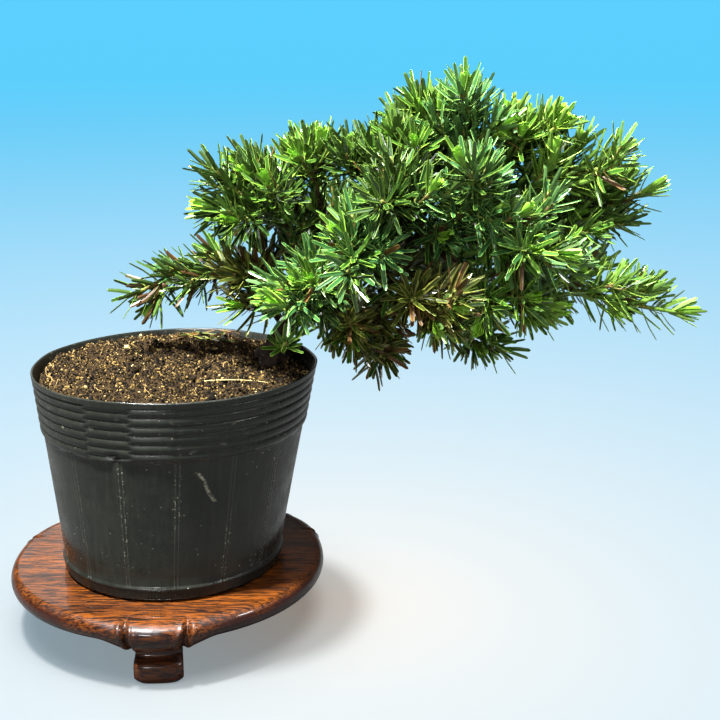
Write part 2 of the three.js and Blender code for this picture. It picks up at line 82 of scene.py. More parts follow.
# ---- camera and studio ----
cameraView = {
    "lens": 60,
    "sensor": 36,
    "down": 0.27,                      # radians below the level
    "place": (72.5, -431.6, 222.2),
}
studio = {
    "coveRadius": 7000,                # mm; the floor rises to a low round wall here
    "coveHeight": 2600,
    "coveBend": 1500,
    "floorColour": (0.52, 0.54, 0.54),
    "floorBounce": (0.34, 0.35, 0.35),  # how it lights the pieces
    "nearGlow": (0.27, 0.21, 0.16),    # a painted glow seen by the camera alone, that lightens the near floor and the shadows on it
    "farGlow": (0.09, 0.65, 1.04),
    "glowHalf": 0.43,                  # metres from the pot
    "skyColour": (1.0, 1.0, 1.0),
    "skyStrength": 0.11,
}
lamps = table(                         # place, aim and size in mm
    ("name", "place", "aim", "size", "watts", "on"),
    ("key", (-170, -230, 820), (50, 0, 90), 70, 46, "pieces"),
    ("soft", (120, -200, 1500), (50, 0, 90), 900, 4, "pieces"),
    ("fill", (-220, -900, 480), (60, 0, 110), 220, 4.6, "pieces"),
    ("side", (620, -240, 560), (60, 0, 110), 150, 2.6, "pieces"),
    ("sheen", (-300, 740, 360), (-40, 20, 20), 400, 0.5, "pieces"),
    ("floorKey", (-290, -100, 2000), (0, 0, 0), 250, 29, "floor"),
    ("floorSoft", (50, -250, 3000), (50, 0, 0), 2600, 69, "floor"),
)


def setCamera():
    data = bpy.data.cameras.new("viewCamera")
    data.lens = cameraView["lens"]
    data.sensor_width = cameraView["sensor"]
    camera = bpy.data.objects.new("viewCamera", data)
    camera.location = inFrame(cameraView["place"])
    camera.rotation_euler = (math.pi / 2 - cameraView["down"], 0, 0)
    bpy.context.scene.collection.objects.link(camera)
    bpy.context.scene.camera = camera


def setLamps():
    for lamp in lamps:
        data = bpy.data.lights.new(lamp["name"], "AREA")
        data.shape = "DISK"
        data.size = lamp["size"] / 1000
        data.energy = lamp["watts"]
        light = bpy.data.objects.new(lamp["name"], data)
        stands, aim = Vector(inFrame(lamp["place"])), Vector(inFrame(lamp["aim"]))
        light.location = stands
        light.rotation_euler = (aim - stands).to_track_quat("-Z", "Y").to_euler()
        bpy.context.scene.collection.objects.link(light)


def setSky():
    world = bpy.data.worlds.new("studioSky")
    world.use_nodes = True
    background = world.node_tree.nodes["Background"]
    background.inputs["Color"].default_value = (*studio["skyColour"], 1)
    background.inputs["Strength"].default_value = studio["skyStrength"]
    bpy.context.scene.world = world


setCamera()
setLamps()
setSky()
bpy.context.scene.view_settings.view_transform = "Standard"
print("camera and lamps set")


# ---- shader helpers ----
def fromScreen(red, green, blue):      # a screen colour, 0 to 255, as the linear one that shaders take
    def linear(part):
        part = part / 255
        return part / 12.92 if part <= 0.04045 else ((part + 0.055) / 1.055) ** 2.4
    return (linear(red), linear(green), linear(blue), 1)


def addNode(tree, kind, inputs=None, **settings):
    node = tree.nodes.new(kind)
    for name, value in settings.items():
        setattr(node, name, value)
    for name, value in (inputs or {}).items():
        feed(tree, node.inputs[name], value)
    return node


def feed(tree, socket, value):
    if isinstance(value, bpy.types.NodeSocket):
        tree.links.new(value, socket)
    else:
        socket.default_value = value


def mixColours(tree, mask, first, second):
    node = tree.nodes.new("ShaderNodeMix")
    node.data_type = "RGBA"
    feed(tree, node.inputs[0], mask)
    feed(tree, node.inputs[6], first)
    feed(tree, node.inputs[7], second)
    return node.outputs[2]


def tinted(tree, colour, mask, screen):    # a screen colour laid over another as far as the mask says
    return mixColours(tree, mask, colour, fromScreen(*screen))


def calculate(tree, operation, *values):
    node = tree.nodes.new("ShaderNodeMath")
    node.operation = operation
    for i, value in enumerate(values):
        feed(tree, node.inputs[i], value)
    return node.outputs[0]


def times(tree, first, second):
    return calculate(tree, "MULTIPLY", first, second)


def strongest(tree, first, *others):   # the highest of some masks
    for other in others:
        first = calculate(tree, "MAXIMUM", first, other)
    return first


def awayFrom(tree, value, middle):
    return calculate(tree, "ABSOLUTE", calculate(tree, "SUBTRACT", value, middle))


def ramp(tree, value, low, high, toLow=0.0, toHigh=1.0):
    node = addNode(tree, "ShaderNodeMapRange", {
        "Value": value, "From Min": low, "From Max": high, "To Min": toLow, "To Max": toHigh})
    node.interpolation_type = "SMOOTHSTEP"
    return node.outputs["Result"]


def noiseOf(tree, vector, scale, detail=2.0, roughness=0.5):
    node = addNode(tree, "ShaderNodeTexNoise", {
        "Vector": vector, "Scale": scale, "Detail": detail, "Roughness": roughness})
    return node.outputs["Fac"]


def drawnOut(tree, vector, scale, detail, roughness=0.5, turn=(0, 0, 0)):     # noise drawn out into streaks
    node = addNode(tree, "ShaderNodeMapping", {"Vector": vector, "Scale": scale, "Rotation": turn})
    return noiseOf(tree, node.outputs["Vector"], 1.0, detail, roughness)


def bump(tree, height, strength, distance):
    node = addNode(tree, "ShaderNodeBump", {"Height": height, "Strength": strength, "Distance": distance})
    return node.outputs["Normal"]


# A finish is a material with its constant values on the shader's own sockets.
def newFinish(name, **sockets):
    material = bpy.data.materials.new(name)
    material.use_nodes = True
    shader = material.node_tree.nodes["Principled BSDF"]
    for socket, value in sockets.items():
        shader.inputs[socket.replace("_", " ")].default_value = value
    coords = addNode(material.node_tree, "ShaderNodeTexCoord")
    return material, material.node_tree, shader, coords


# A shared effect: a node group with one Vector going in and masks or heights coming out.
def newEffect(name, numbers, outputs):
    group = bpy.data.node_groups.new(name, "ShaderNodeTree")
    group.interface.new_socket("Vector", in_out="INPUT", socket_type="NodeSocketVector")
    for label, value in numbers.items():
        socket = group.interface.new_socket(label, in_out="INPUT", socket_type="NodeSocketFloat")
        socket.default_value = value
    for label in outputs:
        group.interface.new_socket(label, in_out="OUTPUT", socket_type="NodeSocketFloat")
    inside = group.nodes.new("NodeGroupInput")
    outside = group.nodes.new("NodeGroupOutput")
    return group, inside, outside


def useEffect(tree, group, vector, **numbers):
    node = tree.nodes.new("ShaderNodeGroup")
    node.node_tree = group
    feed(tree, node.inputs["Vector"], vector)
    for label, value in numbers.items():
        node.inputs[label.replace("_", " ")].default_value = value
    return node.outputs


def makeMottle():                      # broad and fine unevenness of one colour
    group, inside, outside = newEffect("mottle", {"Scale": 100.0, "Contrast": 1.0}, ["Mask", "Height"])
    broad = noiseOf(group, inside.outputs["Vector"], inside.outputs["Scale"], 2)
    fineScale = times(group, inside.outputs["Scale"], 5.3)
    fine = noiseOf(group, inside.outputs["Vector"], fineScale, 3, 0.6)
    both = calculate(group, "MULTIPLY_ADD", broad, 0.6, times(group, fine, 0.4))
    centred = calculate(group, "SUBTRACT", both, 0.5)
    stretched = calculate(group, "MULTIPLY_ADD", centred, inside.outputs["Contrast"], 0.5)
    group.links.new(ramp(group, stretched, 0.2, 0.8), outside.inputs["Mask"])
    group.links.new(both, outside.inputs["Height"])
    return group


def makeSpecks():                      # small scattered spots, such as dust or flecks
    group, inside, outside = newEffect("specks", {"Scale": 900.0, "Size": 0.25, "Share": 0.5}, ["Mask"])
    cells = addNode(group, "ShaderNodeTexVoronoi", {
        "Vector": inside.outputs["Vector"], "Scale": inside.outputs["Scale"], "Randomness": 1.0})
    near = calculate(group, "LESS_THAN", cells.outputs["Distance"], inside.outputs["Size"])
    lot = addNode(group, "ShaderNodeSeparateColor", {"Color": cells.outputs["Color"]})
    chosen = calculate(group, "LESS_THAN", lot.outputs["Red"], inside.outputs["Share"])
    group.links.new(times(group, near, chosen), outside.inputs["Mask"])
    return group


mottle = makeMottle()
specks = makeSpecks()


# ---- mesh helpers ----
# Turns a bmesh in millimetres into a finished object in the frame.
def settle(bm, name, materials):
    bmesh.ops.recalc_face_normals(bm, faces=bm.faces)
    toFrame = Matrix.Translation((axisX, axisY, 0)) @ Matrix.Scale(0.001, 4)
    bmesh.ops.transform(bm, matrix=toFrame, verts=bm.verts)
    mesh = bpy.data.meshes.new(name)
    bm.to_mesh(mesh)
    bm.free()
    return pieceFrom(mesh, name, materials)


def pieceFrom(mesh, name, materials, smooth=True):
    for material in materials:
        mesh.materials.append(material)
    mesh.polygons.foreach_set("use_smooth", [smooth] * len(mesh.polygons))
    piece = bpy.data.objects.new(name, mesh)
    bpy.context.scene.collection.objects.link(piece)
    return piece


# A joined mesh of many small things: points in millimetres, and for each kind of face an
# array of its corners and one of its material slots.
def joined(name, points, faceSets, slotSets, materials, smooth=False):
    counts = np.concatenate([np.full(len(faces), faces.shape[1]) for faces in faceSets])
    corners = np.concatenate([faces.ravel() for faces in faceSets])
    mesh = bpy.data.meshes.new(name)
    mesh.vertices.add(len(points))
    mesh.vertices.foreach_set("co", inFrame(points).astype(np.float32).ravel())
    mesh.loops.add(len(corners))
    mesh.loops.foreach_set("vertex_index", corners.astype(np.int32))
    mesh.polygons.add(len(counts))
    mesh.polygons.foreach_set("loop_start", (np.cumsum(counts) - counts).astype(np.int32))
    mesh.polygons.foreach_set("material_index", np.concatenate(slotSets).astype(np.int32))
    mesh.update(calc_edges=True)
    mesh.validate()
    return pieceFrom(mesh, name, materials, smooth)


def keep(piece, slot, *nodes):
    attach(piece, "root")
    if nodes:
        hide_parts(*nodes)


# A sheet of squares wrapped into a closed tube. pointAt gives the place of a corner from its
# row's number and its share of a full turn.
def wrapTube(bm, around, rows, pointAt):
    verts = bmesh.ops.create_grid(bm, x_segments=around, y_segments=rows, size=0.5)["verts"]
    for vert in verts:
        vert.co = pointAt(round((vert.co.y + 0.5) * rows), vert.co.x + 0.5)
    bmesh.ops.remove_doubles(bm, verts=verts, dist=0.0005)
    rims = {edge for vert in verts if vert.is_valid for edge in vert.link_edges if edge.is_boundary}
    bmesh.ops.holes_fill(bm, edges=list(rims))


def tracedProfile(bm, corners):        # corners: (radius, height, longest step to the next)
    verts = []
    for i, (radius, height, step) in enumerate(corners):
        if i + 1 < len(corners):
            span = math.hypot(corners[i + 1][0] - radius, corners[i + 1][1] - height)
            parts = max(1, math.ceil(span / step))
            for k in range(parts):
                share = k / parts
                across = radius + (corners[i + 1][0] - radius) * share
                verts.append(bm.verts.new((across, 0, height + (corners[i + 1][1] - height) * share)))
        else:
            verts.append(bm.verts.new((radius, 0, height)))
    return [bm.edges.new(pair) for pair in zip(verts, verts[1:])] + verts


def spinProfile(bm, profile, steps):
    bmesh.ops.spin(bm, geom=profile, cent=(0, 0, 0), axis=(0, 0, 1), angle=2 * math.pi,
                   steps=steps, use_merge=True, use_duplicate=False)
    bmesh.ops.remove_doubles(bm, verts=bm.verts, dist=0.002)


def roundLayer(bm, wrapHeight, foot):  # u once round the pot's axis, v up its height
    layer = bm.loops.layers.uv.new("wrap")
    for face in bm.faces:
        turns = [math.atan2(loop.vert.co.y, loop.vert.co.x - leanAt(loop.vert.co.z)) / (2 * math.pi)
                 for loop in face.loops]
        split = max(turns) - min(turns) > 0.5
        for loop, turn in zip(face.loops, turns):
            u = turn + 1 if split and turn < 0 else turn
            loop[layer].uv = (u, (loop.vert.co.z - foot) / wrapHeight)


# ---- pot ----
pot = {
    "footRadius": 41.5,
    "rimRadius": 52.5,
    "wall": 1,
    "inset": 0.9,                      # the plain wall stands in from the foot and from the ribs
    "footInset": 1.2,                  # and the inside of the floor, besides the wall
    "flange": 4.8,
    "band": 22.6,                      # height of the ribbed band under the rim
    "ribs": 6,
    "ribDepth": 0.75,
    "lip": 2.4,
    "scallops": 14,
    "scallopDepth": 0.9,
    "around": 288,
    "brokenFrom": -118,                # degrees: here the ribs break and stand half a rib lower
    "brokenTo": -99,
    "brokenEdge": 0.6,
    "dentAngle": -106.5,               # degrees; a dent by the broken ribs, its half width in degrees
    "dentWide": 2.2,
    "dentUp": 1.5,                     # mm above the band's foot, its half height and its depth
    "dentTall": 1.7,
    "dentDepth": 1.3,
    "waviness": 0.35,
    "black": (24, 26, 22),
    "greyed": (53, 55, 48),
    "dust": (132, 130, 114),
    # the colour of the painted shade at the pot's foot
    "paintedFootShade": (9, 9, 8),
    "linePairs": 15,
    "pairPhase": 0.858,
    "pairGap": 0.035,
    "plainFrom": (0.06, 0.075),        # the lines fade in and out here, as shares of the height
    "plainTo": (0.70, 0.715),
    "scrapeAngle": -68.5,              # degrees
    "scrapeUp": 0.575,                 # its middle, as a share of the height
    "scrapeSlant": 0.13,               # turns to one height of the pot
}
potTall = rimHeight - potFoot


def leanAt(height):
    return potLean * (height - potFoot) / potTall


def potRadius(height):                 # of the plain cone, above the foot
    return pot["footRadius"] + (pot["rimRadius"] - pot["footRadius"]) * height / potTall


def ease(value, low, high):
    share = min(max((value - low) / (high - low), 0), 1)
    return share * share * (3 - 2 * share)


def potOutside(height, angle):         # outside radius of the pot above its foot
    degrees = math.degrees(angle)
    edge = pot["brokenEdge"]
    broken = ease(degrees, pot["brokenFrom"] - edge, pot["brokenFrom"] + edge)
    broken *= 1 - ease(degrees, pot["brokenTo"] - edge, pot["brokenTo"] + edge)
    bandFoot = potTall - pot["band"] - pot["scallopDepth"] * abs(math.sin(angle * pot["scallops"] / 2))
    pitch = (pot["band"] - pot["lip"]) / pot["ribs"]
    radius = potRadius(height)
    if height < pot["flange"]:
        return radius - 0.15
    if height < bandFoot:
        return radius - pot["inset"] * ease(height, pot["flange"], pot["flange"] + 1.5)
    lowest = ease(height, bandFoot, bandFoot + 0.7)
    radius -= pot["inset"] * (1 - lowest)
    if height < potTall - pot["lip"]:
        phase = (potTall - pot["lip"] - height) / pitch + 0.5 * broken
        hump = abs(math.sin(math.pi * phase)) ** 0.55
        radius -= pot["ribDepth"] * (1 - hump) * lowest
    beside = (degrees - pot["dentAngle"]) / pot["dentWide"]
    above = (height - potTall + pot["band"] - pot["dentUp"]) / pot["dentTall"]
    return radius - pot["dentDepth"] * math.exp(-beside ** 2 - above ** 2)


def waveOf(angle, height):             # soft plastic is never quite round
    share = ease(height, potTall * 0.35, potTall)
    slow = 0.6 * math.sin(2 * angle + 0.6) + 0.4 * math.sin(3 * angle + 2.2)
    quick = 0.22 * math.sin(9 * angle + 1) + 0.14 * math.sin(16 * angle)
    lip = ease(height, potTall - 4, potTall)
    return pot["waviness"] * share * (slow + quick * lip)


def buildPot(finish):
    bm = bmesh.new()
    tall, wall = potTall, pot["wall"]
    bandFoot = tall - pot["band"]
    corners = [
        (0, 0, 12),
        (pot["footRadius"] - 1.8, 0, 0.6),
        (pot["footRadius"] - 0.5, 0.5, 0.4),
        (potRadius(1.4), 1.4, 1.2),
        (potRadius(4.4), 4.4, 0.25),
        (potRadius(6.2), 6.2, 4),
        (potRadius(bandFoot - 2), bandFoot - 2, 0.28),
        (potRadius(tall - 1.4), tall - 1.4, 0.35),
        (pot["rimRadius"] - 0.05, tall - 0.35, 0.3),
        (pot["rimRadius"] - 0.4, tall, 0.3),
        (pot["rimRadius"] - 0.85, tall - 0.25, 0.6),
        (pot["rimRadius"] - wall - 0.2, tall - 1.6, 1.2),
        (potRadius(bandFoot) - pot["inset"] - wall, bandFoot, 8),
        (pot["footRadius"] - pot["footInset"] - wall, wall + 1, 12),
        (0, wall, 12),
    ]
    lifted = [(radius, height + potFoot, step) for radius, height, step in corners]
    spinProfile(bm, tracedProfile(bm, lifted), pot["around"])
    for vert in bm.verts:
        height = vert.co.z - potFoot
        radius = math.hypot(vert.co.x, vert.co.y)
        if radius < 1:
            vert.co.x += leanAt(vert.co.z)
            continue
        angle = math.atan2(vert.co.y, vert.co.x)
        onOutside = radius > potRadius(height) - 0.02 and height < tall - 1.3 and height > 1.3
        if onOutside:
            radius = potOutside(height, angle)
        radius += waveOf(angle, height)
        drop = 0.35 * math.sin(2 * angle + 0.4) * ease(height, tall - 6, tall)
        x, y = radius * math.cos(angle), radius * math.sin(angle)
        vert.co = (x + leanAt(vert.co.z), y, vert.co.z - abs(drop))
    roundLayer(bm, potTall, potFoot)
    keep(settle(bm, "pot_shell", [finish]), "pot", "pot")


def potFinish():
    material, tree, shader, coords = newFinish("blackPotPlastic", Roughness=0.4, Specular_IOR_Level=0.28)
    solid, wrapped = coords.outputs["Object"], coords.outputs["UV"]
    wrap = addNode(tree, "ShaderNodeSeparateXYZ", {"Vector": wrapped})
    around, up = wrap.outputs["X"], wrap.outputs["Y"]
    haze = useEffect(tree, mottle, solid, Scale=38.0, Contrast=1.5)["Mask"]
    streaks = drawnOut(tree, wrapped, (170, 5, 1), 3, 0.6)
    colour = tinted(tree, fromScreen(*pot["black"]), ramp(tree, streaks, 0.42, 0.8, 0, 0.25), pot["greyed"])
    colour = tinted(tree, colour, times(tree, haze, 0.2), pot["greyed"])
    # Painted shade darkens the pot towards its foot, where it stands on the board.
    colour = tinted(tree, colour, ramp(tree, up, 0.02, 0.14, 0.7, 0), pot["paintedFootShade"])
    # Mould lines in pairs run up the plain wall, and lime from the water clings to some of them.
    turn = calculate(tree, "MULTIPLY_ADD", around, float(pot["linePairs"]), pot["pairPhase"])
    fromPair = awayFrom(tree, calculate(tree, "FRACT", turn), 0.5)
    fromLine = awayFrom(tree, fromPair, pot["pairGap"])
    plain = times(tree, ramp(tree, up, *pot["plainFrom"]), ramp(tree, up, *pot["plainTo"], 1, 0))
    line = times(tree, ramp(tree, fromLine, 0.006, 0.02, 1, 0), plain)
    dots = noiseOf(tree, solid, 1100.0, 2, 0.7)
    limed = ramp(tree, drawnOut(tree, wrapped, (15, 1.6, 1), 1), 0.44, 0.6)
    beside = ramp(tree, fromPair, 0.05, 0.12, 1, 0)
    crust = times(tree, ramp(tree, dots, 0.64, 0.7), times(tree, beside, 0.7))
    crust = strongest(tree, crust, times(tree, line, ramp(tree, dots, 0.56, 0.64)))
    lime = times(tree, times(tree, crust, limed), plain)
    # One pale scrape slants down the wall.
    bent = calculate(tree, "MULTIPLY_ADD", noiseOf(tree, solid, 160.0, 3), 0.014, -0.007)
    aboveScrape = calculate(tree, "SUBTRACT", up, pot["scrapeUp"])
    slant = calculate(tree, "MULTIPLY_ADD", aboveScrape, pot["scrapeSlant"], around)
    fromScrape = awayFrom(tree, calculate(tree, "ADD", slant, bent), pot["scrapeAngle"] / 360)
    inReach = ramp(tree, calculate(tree, "ABSOLUTE", aboveScrape), 0.07, 0.085, 1, 0)
    scrape = times(tree, ramp(tree, fromScrape, 0.0005, 0.0035, 1, 0), inReach)
    scrape = times(tree, scrape, ramp(tree, dots, 0.42, 0.56, 0.1, 1))
    specked = useEffect(tree, specks, solid, Scale=520.0, Size=0.14, Share=0.35)["Mask"]
    dusty = times(tree, specked, ramp(tree, noiseOf(tree, solid, 26.0, 2), 0.48, 0.62))
    foot = times(tree, ramp(tree, up, 0.0, 0.05, 0.12, 0), ramp(tree, dots, 0.45, 0.7))
    # Scuffs shine on the ribs.
    scuffs = ramp(tree, drawnOut(tree, wrapped, (60, 26, 1), 4, 0.7), 0.6, 0.72)
    scuffs = times(tree, times(tree, scuffs, ramp(tree, up, 0.71, 0.73)), 0.35)
    colour = tinted(tree, colour, times(tree, line, 0.5), pot["greyed"])
    mask = strongest(tree, lime, dusty, foot, scrape, scuffs)
    feed(tree, shader.inputs["Base Color"], tinted(tree, colour, times(tree, mask, 0.85), pot["dust"]))
    rough = ramp(tree, haze, 0, 1, 0.22, 0.42)
    feed(tree, shader.inputs["Roughness"], calculate(tree, "MULTIPLY_ADD", mask, 0.35, rough))
    soft = times(tree, noiseOf(tree, solid, 90.0, 3), 0.8)
    height = calculate(tree, "MULTIPLY_ADD", line, 0.6, soft)
    height = calculate(tree, "MULTIPLY_ADD", streaks, 0.2, height)
    feed(tree, shader.inputs["Normal"], bump(tree, height, 0.5, 0.0008))
    return material


buildPot(potFinish())
print("pot made")


# ---- soil ----
soil = {
    "edgeDrop": 4.4,
    "crown": 3.4,
    "heapAt": (37.5, 12),
    "heapRadius": 9,
    "heapHeight": 100.2,
    "heapSlope": 0.75,
    "relief": 1.25,
    "clump": 9,                        # widths of its unevenness, coarse to fine
    "clod": 2.6,
    "grain": 1.1,
    "hollow": 1.6,                     # depth of the small pits between the clumps, and their width
    "hollowWide": 4.5,
    "backRise": 2.7,                   # the soil lies higher against the pot's back
    "around": 260,
    "crumbs": 9600,
    "crumbSize": (0.2, 0.56, 1.6),     # smallest and largest radius, and how far the small ones prevail
    "lumps": 34,
    "lumpSize": (0.8, 1.5, 1.5),
    "kindShares": [0.4, 0.3, 0.2, 0.07, 0.03],
    "slopeChange": 23,                 # the pot's inside gets steeper this far under its rim
    "dark": (13, 10, 6),
    "brown": (62, 47, 25),
    "clay": (138, 114, 64),
    "black": (8, 7, 6),
    "pale": (166, 148, 106),
    "straw": (190, 168, 104),
    "root": (112, 92, 60),
    "dead": (84, 50, 26),
}


def soilEdge():
    bandFoot = potTall - soil["slopeChange"]
    low = pot["footRadius"] - pot["footInset"] - pot["wall"]
    high = potRadius(bandFoot) - pot["inset"] - pot["wall"]
    share = (potTall - soil["edgeDrop"] - pot["wall"] - 1) / (bandFoot - pot["wall"] - 1)
    return low + (high - low) * share - gap


def soilHeight(x, y):
    share = math.hypot(x - leanAt(rimHeight), y) / soilEdge()
    ground = rimHeight - soil["edgeDrop"] + soil["crown"] * (1 - share * share)
    fromHeap = math.hypot(x - soil["heapAt"][0], y - soil["heapAt"][1]) - soil["heapRadius"]
    heap = soil["heapHeight"] - soil["heapSlope"] * max(fromHeap, 0)
    ground = max(ground, heap) + soil["backRise"] * ease(y - 0.4 * x, -8, 38)
    spot = Vector((x, y, 0))
    ground -= soil["hollow"] * ease(noise.noise(spot / soil["hollowWide"] + Vector((7, 3, 0))), 0.12, 0.4)
    rough = noise.fractal(spot / soil["clump"], 0.7, 2.0, 4)
    rough = rough + 0.8 * noise.noise(spot / soil["clod"]) + 0.45 * noise.noise(spot / soil["grain"])
    return ground + soil["relief"] * rough - 0.4


def buildSoil(finish):
    bm = bmesh.new()
    edge = soilEdge()
    top = rimHeight - soil["edgeDrop"]
    corners = [(0, top - 20, 10), (edge - 3.5, top - 20, 10), (edge, top - 1.2, 1), (edge - 0.8, top, 0.7),
               (0, top, 0.7)]
    spinProfile(bm, tracedProfile(bm, corners), soil["around"])
    for vert in bm.verts:
        vert.co.x += leanAt(rimHeight)
        if vert.co.z > top - 1:
            vert.co.z = soilHeight(vert.co.x, vert.co.y)
    keep(settle(bm, "soil_bed", [finish]), "soil", "soil")


# Many small stones of one template shape, each squashed and turned its own way.
def scatterStones(random, count, smallest, largest, power):
    bm = bmesh.new()
    bmesh.ops.create_icosphere(bm, subdivisions=1, radius=1)
    shape = np.array([vert.co[:] for vert in bm.verts])
    faces = np.array([[vert.index for vert in face.verts] for face in bm.faces])
    bm.free()
    reach = soilEdge() - 1.2
    away = reach * np.sqrt(random.random(count))
    angle = random.random(count) * 2 * math.pi
    size = smallest + (largest - smallest) * random.random(count) ** power
    points = np.zeros((count, len(shape), 3))
    for i in range(count):
        x = leanAt(rimHeight) + away[i] * math.cos(angle[i])
        y = away[i] * math.sin(angle[i])
        knobbly = shape * (1 + 0.32 * (random.random((len(shape), 1)) - 0.5))
        turned = knobbly * (0.7 + 0.6 * random.random(3)) @ turnMatrix(random)
        height = soilHeight(x, y) + size[i] * (0.1 + 1.1 * random.random())
        points[i] = turned * size[i] + (x, y, height)
    allFaces = faces[None] + (np.arange(count) * len(shape))[:, None, None]
    return points.reshape(-1, 3), allFaces.reshape(-1, 3), len(faces)


def turnMatrix(random):
    return np.linalg.qr(random.normal(size=(3, 3)))[0]


def buildCrumbs(finishes):
    random = np.random.default_rng(5)
    small = scatterStones(random, soil["crumbs"], *soil["crumbSize"])
    large = scatterStones(random, soil["lumps"], *soil["lumpSize"])
    points = np.concatenate([small[0], large[0]])
    faces = np.concatenate([small[1], large[1] + len(small[0])])
    kinds = random.choice(len(finishes), soil["crumbs"] + soil["lumps"], p=soil["kindShares"])
    keep(joined("soil_crumbs", points, [faces], [np.repeat(kinds, small[2])], finishes), "soil")


def soilFinish(name, first, second, roughness=0.95, scale=260.0):
    material, tree, shader, coords = newFinish(name, Roughness=roughness, Specular_IOR_Level=0.12)
    solid = coords.outputs["Object"]
    patch = useEffect(tree, mottle, solid, Scale=scale, Contrast=2.2)
    colour = tinted(tree, fromScreen(*first), patch["Mask"], second)
    grit = useEffect(tree, specks, solid, Scale=1300.0, Size=0.33, Share=0.25)["Mask"]
    feed(tree, shader.inputs["Base Color"], tinted(tree, colour, times(tree, grit, 0.3), soil["clay"]))
    feed(tree, shader.inputs["Normal"], bump(tree, patch["Height"], 0.9, 0.0012))
    return material


darkSoil = soilFinish("darkSoil", soil["black"], soil["brown"], scale=1100.0)
crumbFinishes = [
    soilFinish("crumbDark", soil["dark"], soil["dark"]),
    soilFinish("crumbBrown", soil["brown"], soil["dark"]),
    soilFinish("crumbClay", soil["clay"], soil["brown"]),
    soilFinish("crumbBark", soil["black"], soil["dark"], 0.7),
    soilFinish("crumbPale", soil["pale"], soil["clay"]),
]
buildSoil(darkSoil)
buildCrumbs(crumbFinishes)
print("soil made")


# ---- stand ----
stand = {
    "height": standTop,
    "centre": (-2.2, 2.4),             # the pot doesn't stand quite in its middle
    "board": 8,
    "radius": 60.2,
    "lobe": 2.4,
    "lobeSpread": 0.3,
    "round": 3.9,
    "lobeRound": 3.6,                  # how much wider the edge rounds off over a leg
    "legs": ["front", "right", "left"],
    "firstLeg": -86,                   # degrees
    "legWidth": 17.5,
    "footHeight": 7.8,
    "apronDrop": 4.6,                  # how far the edge comes down over a leg
    "apronWidth": 46,
    "notchTop": 11.4,                  # the carved notches, to each side of a leg's middle
    "notchBottom": 9.2,
    "notchHalf": 1.5,
    "notchWide": 2.3,                  # the right-hand one is wider half way down
    "notchDepth": 2.5,
    "notchLip": 0.45,                  # the raised edge beside a notch
    "lipWide": 0.7,
    "legCuts": 39,
    "around": 900,
    "amber": (98, 50, 9),
    "brown": (40, 18, 5),
    "vein": (14, 6, 4),
    # the colour of the painted shade on the edge and the feet
    "edge": (30, 10, 7),
    "lowShade": (0.1, 2.6),            # painted shade darkens the edge from this far under the top
    "frontLight": (57.5, 47),          # but the painted shade is weaker this far in front of the pot's axis, where light falls on the front
    "paintedFootShade": (12.5, 9.5),          # and painted shade darkens the feet, under the board, from here down
}


def legAngle(index):
    return math.radians(stand["firstLeg"] + 120 * index)


def nearestLeg(angle):                 # signed angle from the nearest leg's middle
    offs = [math.atan2(math.sin(angle - legAngle(i)), math.cos(angle - legAngle(i))) for i in range(3)]
    return min(offs, key=abs)


def boardRadius(angle):
    off = nearestLeg(angle)
    return stand["radius"] + stand["lobe"] * math.exp(-((off / stand["lobeSpread"]) ** 2))


def apronDip(across):                  # how much lower the edge hangs this far from a leg's middle
    half = stand["apronWidth"] / 2
    return stand["apronDrop"] * (1 - ease(abs(across), stand["legWidth"] / 2 - 2, half))


# Two notches like the joints of a bamboo stem are cut in the edge over each leg.
def notchCut(across, height):
    share = (stand["height"] - height) / (stand["board"] + stand["apronDrop"])
    middle = stand["notchTop"] + (stand["notchBottom"] - stand["notchTop"]) * share
    half = stand["notchHalf"]
    if across > 0:
        half += stand["notchWide"] * math.exp(-((share - 0.55) / 0.25) ** 2) * (across < middle)
    off = abs(abs(across) - middle)
    cut = max(0, 1 - off / half)
    lip = stand["notchLip"] * math.exp(-((off - half - stand["lipWide"]) / stand["lipWide"]) ** 2)
    return lip - stand["notchDepth"] * cut


def buildBoard(finish):
    top, thick = stand["height"], stand["board"]
    turns = 20
    inner = 2                          # rows of the flat top before the edge starts to round
    rows = inner + turns + 1

    def pointAt(row, turn):
        angle = 2 * math.pi * turn
        off = nearestLeg(angle)
        across = off * stand["radius"]
        dip = apronDip(across)
        bend = stand["round"] + stand["lobeRound"] * math.exp(-((off / stand["lobeSpread"]) ** 2))
        if row < inner:
            inset, height = (-18, -9)[row], top
        elif row == rows:
            inset, height = -13, top - thick - dip
        else:
            around = math.pi * (row - inner) / turns
            inset = -bend + bend * math.sin(around)
            half = thick / 2 if around < math.pi / 2 else thick / 2 + dip
            height = top - thick / 2 + half * math.cos(around)
            inset -= 1.2 * dip / stand["apronDrop"] * ease(around, 1.8, math.pi)
        onEdge = ease(inset, -bend * 1.5, -bend * 0.6) if height > top - thick / 2 else 1
        out = boardRadius(angle) + inset
        if row != rows:
            out += onEdge * notchCut(across, height)
        x, y = stand["centre"]
        return Vector((x + out * math.cos(angle), y + out * math.sin(angle), height))

    bm = bmesh.new()
    wrapTube(bm, stand["around"], rows, pointAt)
    keep(settle(bm, "stand_board", [finish]), "stand_wood", "stand_top")


